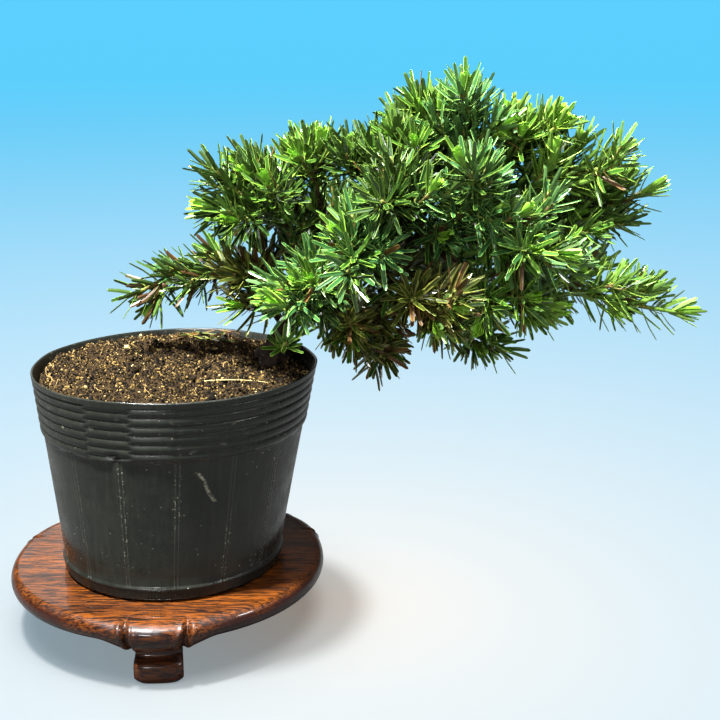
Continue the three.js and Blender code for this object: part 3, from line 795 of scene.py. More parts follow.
# A leg starts as a finely divided cube. Across, inwards and up (0 at the foot) say where a
# point of it belongs.
def legPoint(across, inwards, up):
    tall = stand["height"] - stand["board"] - 1.5
    height = up * tall
    foot = stand["footHeight"]
    half = stand["legWidth"] / 2
    toe = stand["radius"] - 1.5
    neck = ease(height, foot - 1.2, foot + 2.2)
    front = toe - 3.6 * neck
    under = 1 - min(height / 2.2, 1)
    front -= 1.3 * (1 - math.sqrt(1 - under ** 2 * 0.9))       # rounded under the toe
    front += 0.5 * math.sin(math.pi * min(height / foot, 1))
    width = half * (1 - 0.05 * neck) - 1.5 * (1 - ease(height, 0, 2.6)) ** 2
    corner = abs(across) ** 6
    front -= 1.6 * corner
    side = across * width
    front -= side * side / (2 * stand["radius"])
    depth = 8 + 5 * ease(height, foot * 0.6, tall)
    return Vector((front - inwards * depth, side * (1 - 0.1 * inwards), height))


def buildLegs(finish):
    for index, name in enumerate(stand["legs"]):
        bm = bmesh.new()
        bmesh.ops.create_cube(bm, size=2)
        bmesh.ops.subdivide_edges(bm, edges=bm.edges, cuts=stand["legCuts"], use_grid_fill=True)
        for vert in bm.verts:
            across, inwards, up = vert.co.x, (vert.co.y + 1) / 2, (vert.co.z + 1) / 2
            vert.co = legPoint(across, inwards, up)
        bmesh.ops.smooth_vert(bm, verts=bm.verts, factor=0.5, use_axis_x=True, use_axis_y=True, use_axis_z=True)
        for vert in bm.verts:
            vert.co.z = max(vert.co.z, 0)
        turn = Matrix.Rotation(legAngle(index), 3, "Z")
        bmesh.ops.rotate(bm, cent=(0, 0, 0), matrix=turn, verts=bm.verts)
        bmesh.ops.translate(bm, vec=(*stand["centre"], 0), verts=bm.verts)
        keep(settle(bm, f"stand_carving_{name}", [finish]), "stand_wood", f"stand_leg_{name}")


def woodFinish():
    material, tree, shader, coords = newFinish(
        "varnishedRosewood", Roughness=0.3, Specular_IOR_Level=0.2,
        Coat_Weight=0.5, Coat_Roughness=0.06, Coat_IOR=1.42)
    solid = coords.outputs["Object"]
    tilt = (0, 0, math.radians(5))
    broad = drawnOut(tree, solid, (9, 75, 75), 2, turn=tilt)
    figure = drawnOut(tree, solid, (95, 1400, 1400), 3, 0.6, tilt)
    pores = drawnOut(tree, solid, (230, 2900, 2900), 1, turn=tilt)
    tone = calculate(tree, "MULTIPLY_ADD", broad, 0.6, times(tree, figure, 0.4))
    colour = tinted(tree, fromScreen(*stand["brown"]), ramp(tree, tone, 0.4, 0.58), stand["amber"])
    colour = tinted(tree, colour, ramp(tree, figure, 0.49, 0.43, 0, 0.88), stand["vein"])
    colour = tinted(tree, colour, ramp(tree, pores, 0.57, 0.61, 0, 0.9), stand["vein"])
    parts = addNode(tree, "ShaderNodeSeparateXYZ", {"Vector": solid})
    # Painted shade: the edge darkens under the top, less at the front, and the feet darken under the board, broken
    # up by clouds.
    low = ramp(tree, parts.outputs["Z"], *[(standTop - depth) / 1000 for depth in stand["lowShade"]])
    front = ramp(tree, parts.outputs["Y"], *[axisY - place / 1000 for place in stand["frontLight"]], 0.3, 0.97)
    foot = ramp(tree, parts.outputs["Z"], *[height / 1000 for height in stand["paintedFootShade"]], 0, 0.8)
    clouds = ramp(tree, noiseOf(tree, solid, 60.0, 2), 0.38, 0.6, 0.75, 1)
    shade = strongest(tree, times(tree, low, front), foot)
    feed(tree, shader.inputs["Base Color"], tinted(tree, colour, times(tree, shade, clouds), stand["edge"]))
    wear = useEffect(tree, mottle, solid, Scale=60.0, Contrast=1.4)["Mask"]
    feed(tree, shader.inputs["Roughness"], ramp(tree, wear, 0, 1, 0.3, 0.5))
    relief = calculate(tree, "MULTIPLY_ADD", pores, 0.4, times(tree, figure, 0.6))
    feed(tree, shader.inputs["Normal"], bump(tree, relief, 0.25, 0.0003))
    return material


varnishedWood = woodFinish()
buildBoard(varnishedWood)
buildLegs(varnishedWood)
print("stand made")


# ---- trunk and boughs ----
trunk = {
    "line": [(38, 12, 94), (43, 11, 125), (68, 8, 134), (119, 3, 160)],
    "footRadius": 4.3,
    "tipRadius": 1.9,
    "flare": 3.2,
    "flareHeight": 9,
    "shownFrom": 0.03,
    "ringEvery": 0.55,
    "around": 56,
    "relief": 0.42,
    "plate": 2.6,                      # widths of the bark's plates, of the cracks between, of its grain
    "crack": 0.35,
    "grain": 1.7,
    "roots": 3,                        # the foot spreads into low roots
    "rootSwell": 0.3,
    "rootTall": 4,
    "bark": (20, 15, 12),
    "ridge": (52, 40, 31),
    "fleck": (118, 112, 100),
    "young": (96, 70, 38),
}
bough = {"rootRadius": 1.7, "tipRadius": 1.15, "around": 18, "ringEvery": 0.6, "relief": 0.22}


def pointOn(line, share):              # a point of a Bezier line, quadratic or cubic
    points = [np.asarray(point, float) for point in line]
    while len(points) > 1:
        points = [a + (b - a) * share for a, b in zip(points, points[1:])]
    return points[0]


def headingOn(line, share):
    points = [np.asarray(point, float) for point in line]
    while len(points) > 2:
        points = [a + (b - a) * share for a, b in zip(points, points[1:])]
    return unit(points[1] - points[0])


def unit(vector):
    return vector / max(np.linalg.norm(vector), 1e-9)


def lineLength(line):
    points = [pointOn(line, i / 24) for i in range(25)]
    return sum(np.linalg.norm(b - a) for a, b in zip(points, points[1:]))


def evenShares(line, shares):          # the curve's own shares at these shares of its length
    points = np.array([pointOn(line, i / 200) for i in range(201)])
    run = np.concatenate([[0], np.cumsum(np.linalg.norm(np.diff(points, axis=0), axis=1))])
    return np.interp(np.asarray(shares) * run[-1], run, np.linspace(0, 1, 201))


def sidesOf(along):                    # two directions square to a third, the first one level
    up = np.array([1.0, 0, 0]) if abs(along[2]) > 0.95 else np.array([0, 0, 1.0])
    level = unit(np.cross(up, along))
    return level, np.cross(along, level)


def trunkRadius(share):
    taper = trunk["footRadius"] + (trunk["tipRadius"] - trunk["footRadius"]) * share
    above = pointOn(trunk["line"], evenShares(trunk["line"], share))[2] - soil["heapHeight"]
    return taper + trunk["flare"] * math.exp(-max(above, 0) / (trunk["flareHeight"] / 2.5))


def barkRelief(spot):
    spot = Vector(spot)
    plates = noise.voronoi(spot / trunk["plate"])[0]
    crack = min(plates[1] - plates[0], trunk["crack"]) / trunk["crack"]
    return crack - 0.6 + 0.7 * noise.fractal(spot / trunk["grain"], 0.8, 2.0, 3)


def rootSwell(height, turn):
    above = max(height - soil["heapHeight"], 0)
    ridge = math.cos(2 * math.pi * trunk["roots"] * turn + 0.8)
    return 1 + trunk["rootSwell"] * ridge * math.exp(-above / trunk["rootTall"])


def drawLimb(bm, line, radiusAt, look, first=0.0):
    rows = max(3, round(lineLength(line) * (1 - first) / look["ringEvery"]))
    shares = np.linspace(first, 1, rows + 1)
    rings = []
    level = sidesOf(headingOn(line, 0))[0]
    for share, own in zip(shares, evenShares(line, shares)):
        along = headingOn(line, own)
        level = unit(level - along * np.dot(level, along))
        rings.append((pointOn(line, own), level, np.cross(along, level), radiusAt(share)))

    def pointAt(row, turn):
        centre, level, upright, radius = rings[row]
        angle = 2 * math.pi * turn
        out = level * math.cos(angle) + upright * math.sin(angle)
        radius = radius * rootSwell(centre[2], turn)
        plain = centre + out * radius
        return Vector(plain + out * look["relief"] * barkRelief(plain))

    wrapTube(bm, look["around"], rows, pointAt)


def boughLine(mass):
    start = pointOn(trunk["line"], evenShares(trunk["line"], mass["leaves"]))
    end = np.array(mass["boughTip"], float)
    middle = (start + end) / 2 + np.array([0, 0, mass["rise"]])
    return [start, middle, end]


def barkFinish(name, base, ridge, flecks, scale):
    material, tree, shader, coords = newFinish(name, Roughness=0.85, Specular_IOR_Level=0.3)
    solid = coords.outputs["Object"]
    patch = useEffect(tree, mottle, solid, Scale=scale, Contrast=2.4)
    colour = tinted(tree, fromScreen(*base), patch["Mask"], ridge)
    fleck = useEffect(tree, specks, solid, Scale=scale * 3.4, Size=0.3, Share=flecks)["Mask"]
    feed(tree, shader.inputs["Base Color"], tinted(tree, colour, times(tree, fleck, 0.8), trunk["fleck"]))
    feed(tree, shader.inputs["Normal"], bump(tree, patch["Height"], 0.9, 0.001))
    return material


# ---- foliage ----
# Each mass is carried by a bough, or springs from the trunk. leaves: share of the trunk where
# its bough leaves. boughTip, rise, lead: the bough's end and arch, and the tip of the stem that
# grows on from it. shoots, reach, lift, turn: its side shoots. tone: the colours of its
# needles. fresh: share of its shoots that end in a bright bud. old: share of dead needles.
masses = table(
    ("name", "leaves", "boughTip", "rise", "lead", "shoots", "reach", "lift",
     "turn", "side", "tone", "fresh", "old"),
    ("low_left", 0.17, (33, 13, 128), 3, (-24, 8, 124), 5, 14, -0.1, 60, "left", "deep", 0.15, 0.26),
    ("upper_left", 0.32, (46, 3, 152), 4, (11.9, -14, 163.4), 5, 19, 0.1, 30, "left", "deep", 0.2, 0.03),
    ("left_top", 0.37, (50, 10, 157), 4, (23, 4, 178), 4, 17, 0.1, 80, "left", "deep", 0.3, 0.03),
    ("left_crest", 0.44, (58, 6, 160), 3, (57.6, 0, 190.1), 4, 17, 0.1, 200, "left", "mid", 0.3, 0.03),
    ("left_back", 0.28, (50, 22, 146), 4, (14.8, 46, 156.1), 5, 22, 0.1, 90, "left", "deep", 0.2, 0.05),
    ("crest", 0.53, (76, 4, 161), 2, (69, 0, 187.3), 5, 19, 0.1, 10, "top", "deep", 0.3, 0.03),
    ("crest_high", 0.63, (87, 2, 163), 2, (85.5, -12, 196), 5, 18, 0.1, 50, "top", "mid", 0.3, 0.03),
    ("top", 0.74, (97, 8, 168), 2, (95, 8, 208), 5, 19, 0.15, 100, "top", "mid", 0.4, 0.02),
    ("top_star", 0.83, (106, 2, 168), 2, (115.5, -4, 206.8), 5, 18, 0.15, 130, "top", "blueGreen", 0.2, 0.02),
    ("top_right", 0.93, (118, 5, 167), 2, (145.8, 0, 197), 5, 19, 0.2, 40, "top", "bright", 0.8, 0.02),
    ("right_upper", 0.92, (126, 9, 154), 1, (185.2, 0, 167.2), 6, 20, 0.1, 70, "right", "mid", 0.5, 0.02),
    ("right_lower", 0.85, (121, -2, 144), 1, (197, -8, 120), 6, 20, 0.25, 110, "right", "bright", 0.6, 0.02),
    ("right_star", 0.8, (112, -13, 152), 1, (146, -41, 148), 5, 20, 0.1, 150, "front", "blueGreen", 0.3, 0.02),
    ("right_back", 0.77, (114, 21, 152), 2, (180, 48, 146), 6, 22, 0.1, 20, "right", "deep", 0.2, 0.04),
    ("front_high", 0.7, (101, -10, 154), 2, (117.7, -40, 183.6), 5, 19, 0.1, 15, "front", "blueGreen", 0.2, 0.02),
    ("front_right", 0.75, (108, -9, 139), 1, (145, -32, 126.5), 5, 19, 0, 80, "front", "mid", 0.4, 0.06),
    ("front_low", 0.52, (86, -14, 134), 1, (109.3, -42, 123.1), 5, 19, 0, 35, "front", "olive", 0.1, 0.2),
    ("front_left", 0.33, (61, -8, 131), 1, (37.4, -36, 133.7), 5, 17, 0.05, 120, "front", "blueGreen", 0.4, 0.03),
    ("front_middle", 0.44, (73, -11, 143), 1, (67.7, -48, 156.2), 5, 19, 0.1, 75, "front", "blueGreen", 0.2, 0.05),
    ("front_crest", 0.57, (84, -12, 154), 2, (82.9, -38, 177.5), 5, 19, 0.1, 55, "front", "deep", 0.2, 0.03),
    ("back_top", 0.67, (97, 22, 163), 2, (100.3, 52, 181.2), 6, 22, 0.15, 50, "back", "mid", 0.3, 0.03),
    ("back_low", 0.57, (93, 24, 139), 2, (112, 60, 124), 6, 22, 0.05, 65, "back", "deep", 0.2, 0.06),
    ("back_middle", 0.4, (70, 26, 142), 2, (58, 60, 142), 6, 22, 0.1, 25, "back", "deep", 0.2, 0.05),
)
sprigs = table(                        # small: the size of its needles, where they are smaller
    ("name", "leaves", "lead", "shoots", "reach", "lift", "turn", "side",
     "tone", "fresh", "old", "small"),
    ("top_far", 1, (171.7, -6, 182.3), 5, 19, 0.15, 5, "right", "bright", 0.6, 0.02),
    ("low_right", 0.66, (132.8, -10, 102.5), 5, 18, 0, 45, "right", "mid", 0.4, 0.08),
    ("low_hanging", 0.56, (77.7, -8, 92.7), 5, 13, 0, 0, "front", "olive", 0, 0.3),
    ("left_under", 0.24, (25, -5, 147), 5, 16, 0, 160, "left", "olive", 0.1, 0.15),
    ("front_under", 0.38, (77, -25, 111), 5, 16, 0, 90, "front", "olive", 0.1, 0.2),
    ("foot_sprig", 0.12, (48, -11, 113), 0, 12, 0, 0, "front", "bright", 0, 0.05, 0.64),
)
shootRule = {                          # the same as the solids are grown by
    "beyond": 9,
    "firstAt": 0.16,
    "lastAt": 0.82,
    "spread": 50,
    "spreadJitter": 9,
    "turn": 137.5,
    "turnJitter": 24,
    "lengthJitter": 0.18,
    "taper": 0.25,
}
trims = {                              # side shoots pinched back to a share of their length, by number
    "low_left": {3: 0.8, 4: 0.35}, "upper_left": {5: 0.7}, "left_top": {4: 0.65},
    "left_crest": {3: 0.6, 4: 0.6}, "crest": {5: 0.7}, "crest_high": {2: 0.65, 4: 0.75, 5: 0.4},
    "top": {4: 0.6, 5: 0.3}, "top_right": {4: 0.4}, "right_upper": {6: 0.75},
    "right_lower": {2: 0.6, 5: 0.4, 6: 0.5}, "front_right": {5: 0.35}, "front_low": {5: 0.35},
    "top_far": {4: 0.7}, "low_right": {5: 0.5}, "front_under": {2: 0.7, 5: 0.6},
}
fineRule = {                           # the finer twigs that only show from close by
    "onStem": 5,
    "onShoot": 2,
    "onBough": 4,
    "stemShare": 0.45,                 # their length, as a share of the mass's reach
    "shootShare": 0.45,
    "boughShare": 0.55,
    "spread": 46,
}
twig = {
    "stemRadius": 1.15,
    "shootRadius": 0.85,
    "fineRadius": 0.6,
    "tipShare": 0.65,
    "around": 6,
    "rows": 6,
    "young": (122, 142, 58),
    "old": (86, 62, 34),
}
needle = {
    "length": 14.0,
    "lengthJitter": 0.14,
    "halfWidth": 0.8,
    "thick": 0.38,
    "every": 0.77,                     # mm of shoot to one needle
    "turn": 137.5,
    "turnJitter": 14,
    "bareFoot": 0.08,                  # share of a shoot that carries none
    "footAngle": 68,                   # degrees from the shoot
    "tipAngle": 36,
    "closeFrom": 7,                    # mm before a shoot's end, where they begin to close
    "tipShrink": 0.26,
    "angleJitter": 6,
    "upwards": 0.14,                   # how far they turn up to the light
    "bend": 0.17,
    "budNeedles": 9,
    "budAngle": 9,
    "budSize": 0.56,
    "budLength": 2.4,                  # mm of shoot that carries it
    "budWidth": 1.25,
    "freshReach": 4.5,                 # mm of bright needles before it
    "tuftSize": 0.84,                  # at the end of a mass's own stem
}
# Screen colours of a needle: its upper face, its two margins and its underside.
tones = {
    "deep": {"blade": (30, 56, 17), "edge": (94, 122, 40), "under": (54, 78, 28)},
    "mid": {"blade": (44, 80, 23), "edge": (116, 148, 48), "under": (70, 100, 36)},
    "bright": {"blade": (58, 97, 27), "edge": (140, 171, 60), "under": (94, 128, 46)},
    "blueGreen": {"blade": (42, 83, 40), "edge": (114, 152, 68), "under": (72, 106, 54)},
    "olive": {"blade": (50, 62, 18), "edge": (118, 120, 42), "under": (82, 82, 34)},
    "bud": {"blade": (98, 152, 34), "edge": (148, 192, 62), "under": (116, 164, 50)},
    "dead": {"blade": (78, 54, 22), "edge": (128, 98, 48), "under": (68, 48, 22)},
}
needleFoot = (128, 146, 52)            # the yellow-green joint of a needle to its twig
strayTones = {                         # now and then a shoot has another colour than its mass
    "deep": ["mid", "blueGreen"],
    "mid": ["deep", "bright"],
    "bright": ["mid", "mid"],
    "blueGreen": ["deep", "mid"],
    "olive": ["deep", "mid"],
}
strayShare = 0.3
mostNeedles = 4200                     # in one piece


# The same seed gives the same run of numbers here as in the solids' own source.
def seeded(seed):
    state = seed & 0xFFFFFFFF

    def draw():
        nonlocal state
        state = (state + 0x6D2B79F5) & 0xFFFFFFFF
        mixed = ((state ^ (state >> 15)) * (state | 1)) & 0xFFFFFFFF
        mixed ^= (mixed + (((mixed ^ (mixed >> 7)) * (mixed | 61)) & 0xFFFFFFFF)) & 0xFFFFFFFF
        return (mixed ^ (mixed >> 14)) / 4294967296

    return draw


def sideShoot(root, along, turn, angle, size, lift):
    level, upright = sidesOf(along)
    side = level * math.cos(turn) + upright * math.sin(turn)
    away = along * math.cos(angle) + side * math.sin(angle)
    end = root + unit(0.8 * away + 0.2 * along) * size + np.array([0, 0, lift * size])
    return [root, root + away * size / 2, end]


# The stem grows on from the bough's tip to the lead, and side shoots leave it in a spiral.
def mainShoots(mass, start, heading, seed):
    draw = seeded(seed)
    jitter = lambda: draw() * 2 - 1
    lead = np.array(mass["lead"], float)
    lead = lead + unit(start - lead) * shootRule["beyond"]
    length = np.linalg.norm(lead - start)
    stem = [start, start + heading * length * 0.4, lead]
    shoots = [{"line": stem, "radius": twig["stemRadius"], "order": 0}]
    for i in range(mass["shoots"]):
        order = (i + 0.5) / mass["shoots"]
        at = shootRule["firstAt"] + (shootRule["lastAt"] - shootRule["firstAt"]) * order
        turn = math.radians(mass["turn"] + i * shootRule["turn"] + jitter() * shootRule["turnJitter"])
        angle = math.radians(shootRule["spread"] + jitter() * shootRule["spreadJitter"])
        size = mass["reach"] * (1 - shootRule["taper"] * at) * (1 + jitter() * shootRule["lengthJitter"])
        size *= trims.get(mass["name"], {}).get(i + 1, 1)
        line = sideShoot(pointOn(stem, at), headingOn(stem, at), turn, angle, size, mass["lift"])
        shoots.append({"line": line, "radius": twig["shootRadius"], "order": 1})
    return shoots


def fineShoots(mass, shoots, random):
    fine = []
    for shoot in shoots:
        kind = ("Stem", "Shoot")[shoot["order"]] if shoot["order"] >= 0 else "Bough"
        size = mass["reach"] if kind != "Shoot" else lineLength(shoot["line"])
        size *= fineRule[kind.lower() + "Share"]
        count = fineRule["on" + kind]
        for i in range(count):
            at = 0.22 + 0.66 * (i + 0.3 + 0.4 * random.random()) / count
            turn = random.random() * 2 * math.pi
            angle = math.radians(fineRule["spread"] + 12 * (random.random() - 0.5))
            own = size * (0.8 + 0.4 * random.random()) * (1 - 0.2 * at)
            root, along = pointOn(shoot["line"], at), headingOn(shoot["line"], at)
            line = sideShoot(root, along, turn, angle, own, mass["lift"])
            fine.append({"line": line, "radius": twig["fineRadius"], "order": 2})
    return fine


def growMass(mass, start, heading, seed):
    random = np.random.default_rng(seed)
    shoots = mainShoots(mass, start, heading, seed)
    if mass["shoots"]:
        carriers = list(shoots)
        if "boughTip" in mass:
            carriers.append({"line": boughLine(mass), "order": -1})
        shoots += fineShoots(mass, carriers, random)
    for shoot in shoots:
        shoot["tone"] = mass["tone"]
        if random.random() < strayShare:
            shoot["tone"] = strayTones[mass["tone"]][random.integers(2)]
        fresh = mass["fresh"] * (1.6, 1.0, 0.6)[shoot["order"]]
        shoot["bud"] = random.random() < fresh
    return shoots


# Needles leave a shoot one by one in a spiral, spread wide at its foot and closing to its tip.
def needlesOf(mass, shoot, random):
    found = []
    length = lineLength(shoot["line"])
    bare = needle["bareFoot"]
    small = mass.get("small", 1)       # a low rosette has short needles, set close and wide
    count = max(7, round(length * (1 - bare) / (needle["every"] * small)))

    def add(share, turn, angle, size, tone, width):
        root, along = pointOn(shoot["line"], share), headingOn(shoot["line"], share)
        level, upright = sidesOf(along)
        out = level * math.cos(turn) + upright * math.sin(turn)
        lean = math.radians(angle + needle["angleJitter"] * (random.random() * 2 - 1))
        direction = along * math.cos(lean) + out * math.sin(lean)
        direction = unit(direction + np.array([0, 0, needle["upwards"]]))
        full = size * (1 - needle["lengthJitter"] * random.random())
        found.append({"root": root + out * shoot["radius"] * 0.4, "direction": direction, "facing": along,
                      "size": full, "tone": tone, "width": width})

    for i in range(count):
        share = bare + (1 - bare) * (i + 0.5) / count
        turn = math.radians(i * needle["turn"] + needle["turnJitter"] * (random.random() - 0.5))
        fromTip = (1 - share) * length
        closing = 1 - min(fromTip / needle["closeFrom"], 1)
        angle = needle["footAngle"] + (needle["tipAngle"] - needle["footAngle"]) * closing ** 1.3 - 8 * share
        size = needle["length"] * (1 - needle["tipShrink"] * closing) * (0.84 + 0.16 * min(share / 0.3, 1))
        tone = shoot["tone"]
        if small < 1:
            angle, size = angle + 30 * closing, needle["length"] * small
        if shoot["bud"] and fromTip < needle["freshReach"] and random.random() < 0.6:
            tone = "bright"
        if random.random() < mass["old"] * (1.2 - share):
            tone = "dead"
        add(share, turn, angle, size, tone, 0.92 + 0.16 * random.random())
    # A fresh shoot ends in a bud or tuft of short broad needles, still closed.
    if shoot["bud"]:
        largest = needle["tuftSize"] if shoot["order"] == 0 else needle["budSize"]
        for i in range(needle["budNeedles"]):
            order = i / (needle["budNeedles"] - 1)
            share = 1 - needle["budLength"] * (1 - order) / length
            size = needle["length"] * largest * (1 - 0.3 * order)
            turn, angle = math.radians(i * needle["turn"]), needle["budAngle"] * (2 - order)
            add(share, turn, angle, size, "bud", needle["budWidth"])
    return found


def farFromPot(points, room):
    fromAxis = np.hypot(points[:, 0] - potLean, points[:, 1])
    return (fromAxis > pot["rimRadius"] + 3 + room) | (points[:, 2] > rimHeight + 1 + room)


# Stations along a needle, as shares of its length, with its half width there. Across it run the
# left margin, the shoulders of the blade with the midrib sunk between them, the right margin
# and the keel below.
needleStations = [(0.0, 0.4), (0.12, 0.94), (0.56, 1.0), (0.93, 0.78)]
needleAcross = [(-1.0, 0.0), (-0.74, 0.34), (0.0, 0.0), (0.74, 0.34), (1.0, 0.0), (0.0, -0.6)]
needleFaceSlots = [1, 0, 0, 1, 2, 2]   # edge, blade, blade, edge, under, under


def needleMesh(found):
    root = np.array([one["root"] for one in found])
    direction = np.array([one["direction"] for one in found])
    facing = np.array([one["facing"] for one in found]) * 0.8 + np.array([0, 0, 0.4])
    size = np.array([one["size"] for one in found])[:, None]
    width = np.array([one["width"] for one in found])[:, None] * needle["halfWidth"]
    facing = facing - direction * np.sum(facing * direction, axis=1)[:, None]
    facing /= np.maximum(np.linalg.norm(facing, axis=1), 1e-6)[:, None]
    side = np.cross(direction, facing)
    inward = np.array([one["facing"] for one in found])    # they curve towards the shoot's tip
    inward = inward - direction * np.sum(inward * direction, axis=1)[:, None]
    count, across = len(found), len(needleAcross)
    rows = []
    for along, half in needleStations:
        centre = root + direction * size * along + inward * size * needle["bend"] * along ** 2
        for left, up in needleAcross:
            shift = side * left * half * width + facing * up * half * needle["thick"]
            rows.append(centre + shift)
    rows.append(root + direction * size + inward * size * needle["bend"])
    points = np.stack(rows, axis=1)
    each = points.shape[1]
    quads, quadSlots, caps, capSlots = [], [], [], []
    for row in range(len(needleStations) - 1):
        for k in range(across):
            low, after = row * across + k, row * across + (k + 1) % across
            quads.append([low, low + across, after + across, after])
            quadSlots.append(3 if row == 0 and needleFaceSlots[k] == 2 else needleFaceSlots[k])
    last = (len(needleStations) - 1) * across
    for k in range(across):
        caps.append([last + k, each - 1, last + (k + 1) % across])
        capSlots.append(needleFaceSlots[k])
    shift = (np.arange(count) * each)[:, None, None]
    closing = (np.arange(across)[None] + shift[:, 0]).reshape(count, across)
    sides = (np.array(quads)[None] + shift).reshape(-1, 4)
    tips = (np.array(caps)[None] + shift).reshape(-1, 3)
    return points.reshape(-1, 3), [sides, tips, closing], quadSlots, capSlots


# Every tone has four slots in a row: blade, edge, under and foot.
def buildNeedles(name, found, finishes, nodes):
    order = list(tones)
    points, faceSets, quadSlots, capSlots = needleMesh(found)
    first = np.array([4 * order.index(one["tone"]) for one in found])[:, None]
    slots = [(first + np.array(quadSlots)).ravel(), (first + np.array(capSlots)).ravel(), (first + 3).ravel()]
    keep(joined(name, points, faceSets, slots, finishes), "needles", *nodes)


def buildTwigs(name, shoots, finishes, nodes):
    around, rows = twig["around"], twig["rows"]
    points, slots = [], []
    turn = np.arange(around) * 2 * math.pi / around
    for shoot in shoots:
        for i in range(rows + 1):
            share = i / rows
            centre, along = pointOn(shoot["line"], share), headingOn(shoot["line"], share)
            level, upright = sidesOf(along)
            radius = shoot["radius"] * (1 - (1 - twig["tipShare"]) * share)
            ring = centre + radius * (np.cos(turn)[:, None] * level + np.sin(turn)[:, None] * upright)
            points.append(ring)
        slots += [0 if shoot["order"] == 0 and i < rows / 2 else 1 for i in range(rows) for k in range(around)]
    cell = []
    for row in range(rows):
        for k in range(around):
            low, after = row * around + k, row * around + (k + 1) % around
            cell.append([low, after, after + around, low + around])
    shift = (np.arange(len(shoots)) * around * (rows + 1))[:, None, None]
    quads = (np.array(cell)[None] + shift).reshape(-1, 4)
    foot = np.arange(around)[::-1][None] + shift[:, 0]
    tip = np.arange(around)[None] + around * rows + shift[:, 0]
    slots += [1] * (2 * len(shoots))
    keep(joined(name, np.concatenate(points), [quads, foot, tip], [slots], finishes, True), "bark", *nodes)


litter = {                             # what lies on the soil: from, to, radius and how far it arches up
    "straw": [((13.5, -21.0), (39.5, -16.5), 0.3, 1.2)],
    "root": [((-45.4, 4.4), (-36.8, -19.8), 0.24, 1.4), ((-22.6, -23.7), (-18.0, -31.0), 0.22, 1.2),
             ((-42.0, -7.0), (-39.0, -18.0), 0.26, 1.6), ((-4.0, -25.0), (-1.0, -33.0), 0.2, 1.0),
             ((-31.0, 22.0), (-14.0, 27.0), 0.2, 0.8), ((22.0, -4.0), (27.0, 9.0), 0.24, 1.8)],
    "deadTwig": [((6.0, 41.0), (33.0, 27.0), 0.36, 3.0), ((17.0, 43.0), (31.0, 22.0), 0.3, 3.6),
                 ((23.0, 31.0), (11.0, 43.0), 0.28, 2.0)],
    "around": 7,
    "rows": 24,
    "fallen": 22,                      # needles
    "fallenAt": (14, 38),
    "fallenSpread": 7,
    "fallenLength": 12,
}


def buildLitter():
    finishes = {
        "straw": barkFinish("dryStraw", soil["straw"], soil["pale"], 0.0, 300.0),
        "root": barkFinish("dryRoot", soil["root"], soil["clay"], 0.0, 400.0),
        "deadTwig": barkFinish("deadTwig", soil["dead"], soil["root"], 0.1, 300.0),
    }
    rows = litter["rows"]
    bm = bmesh.new()
    for slot, kind in enumerate(finishes):
        before = len(bm.faces)
        for start, end, radius, arch in litter[kind]:
            start, end = np.array(start, float), np.array(end, float)
            wander = 0.01 if kind == "straw" else 0.07
            across = np.array([start[1] - end[1], end[0] - start[0]]) * wander
            ends = soilHeight(*start), soilHeight(*end)
            along = Vector((*unit(end - start), 0))
            level = Vector((-along.y, along.x, 0))

            def pointAt(row, turn):
                share = row / rows
                x, y = start + (end - start) * share + across * math.sin(4 * share * (1 + arch))
                under = ends[0] + (ends[1] - ends[0]) * share if kind == "straw" else soilHeight(x, y)
                height = under + radius * 0.5 + arch * math.sin(math.pi * share)
                angle = 2 * math.pi * turn
                taper = radius * (1 - 0.5 * share) * (1 + 0.15 * math.sin(9 * share))
                out = level * math.cos(angle) + Vector((0, 0, math.sin(angle)))
                return Vector((x, y, height)) + taper * out

            wrapTube(bm, litter["around"], rows, pointAt)
        bm.faces.ensure_lookup_table()
        for face in bm.faces[before:]:
            face.material_index = slot
    keep(settle(bm, "soil_litter", list(finishes.values())), "bark")


def buildFallen(finishes):
    long, middle = litter["fallenLength"], leanAt(rimHeight)
    random = np.random.default_rng(77)
    fallen = []
    for i in range(litter["fallen"]):
        x, y = np.array(litter["fallenAt"]) + litter["fallenSpread"] * random.normal(size=2)
        turn = random.random() * 2 * math.pi
        tip = np.array([x + long * math.cos(turn), y + long * math.sin(turn)])
        if max(math.hypot(x - middle, y), math.hypot(tip[0] - middle, tip[1])) > soilEdge() - 1:
            continue
        rise = (soilHeight(*tip) - soilHeight(x, y)) / long + 0.1 * random.random()
        fallen.append({
            "root": np.array([x, y, soilHeight(x, y) + 1.0 + random.random()]),
            "direction": unit(np.array([math.cos(turn), math.sin(turn), rise])),
            "facing": np.array([0, 0, 0.3]),
            "size": 10 + 3 * random.random(),
            "tone": ("olive", "deep", "dead")[i % 3],
            "width": 0.85,
        })
    buildNeedles("soil_fallen_needles", fallen, finishes, [])


def needleFinishes():
    finishes = []
    for tone, colours in tones.items():
        for part in ("blade", "edge", "under", "foot"):
            colour = colours.get(part, needleFoot if tone != "dead" else colours["blade"])
            glossy = part == "blade" and tone != "dead"
            finishes.append(newFinish(
                f"needle_{tone}_{part}", Base_Color=fromScreen(*colour), Roughness=0.23 if glossy else 0.46,
                Specular_IOR_Level=0.8 if glossy else 0.45)[0])
    return finishes


def startOf(mass):                     # where a mass's stem starts, and which way it sets off
    if "boughTip" in mass:
        line = boughLine(mass)
        heading = headingOn(line, 1)
        return line[2] + heading * gap, heading
    own = evenShares(trunk["line"], mass["leaves"])
    start, along = pointOn(trunk["line"], own), headingOn(trunk["line"], own)
    if mass["leaves"] == 1:
        return start + along * gap, along
    heading = np.array(mass["lead"], float) - start
    heading = unit(heading - along * np.dot(heading, along))
    return start + heading * trunkRadius(mass["leaves"]) * 0.8, heading


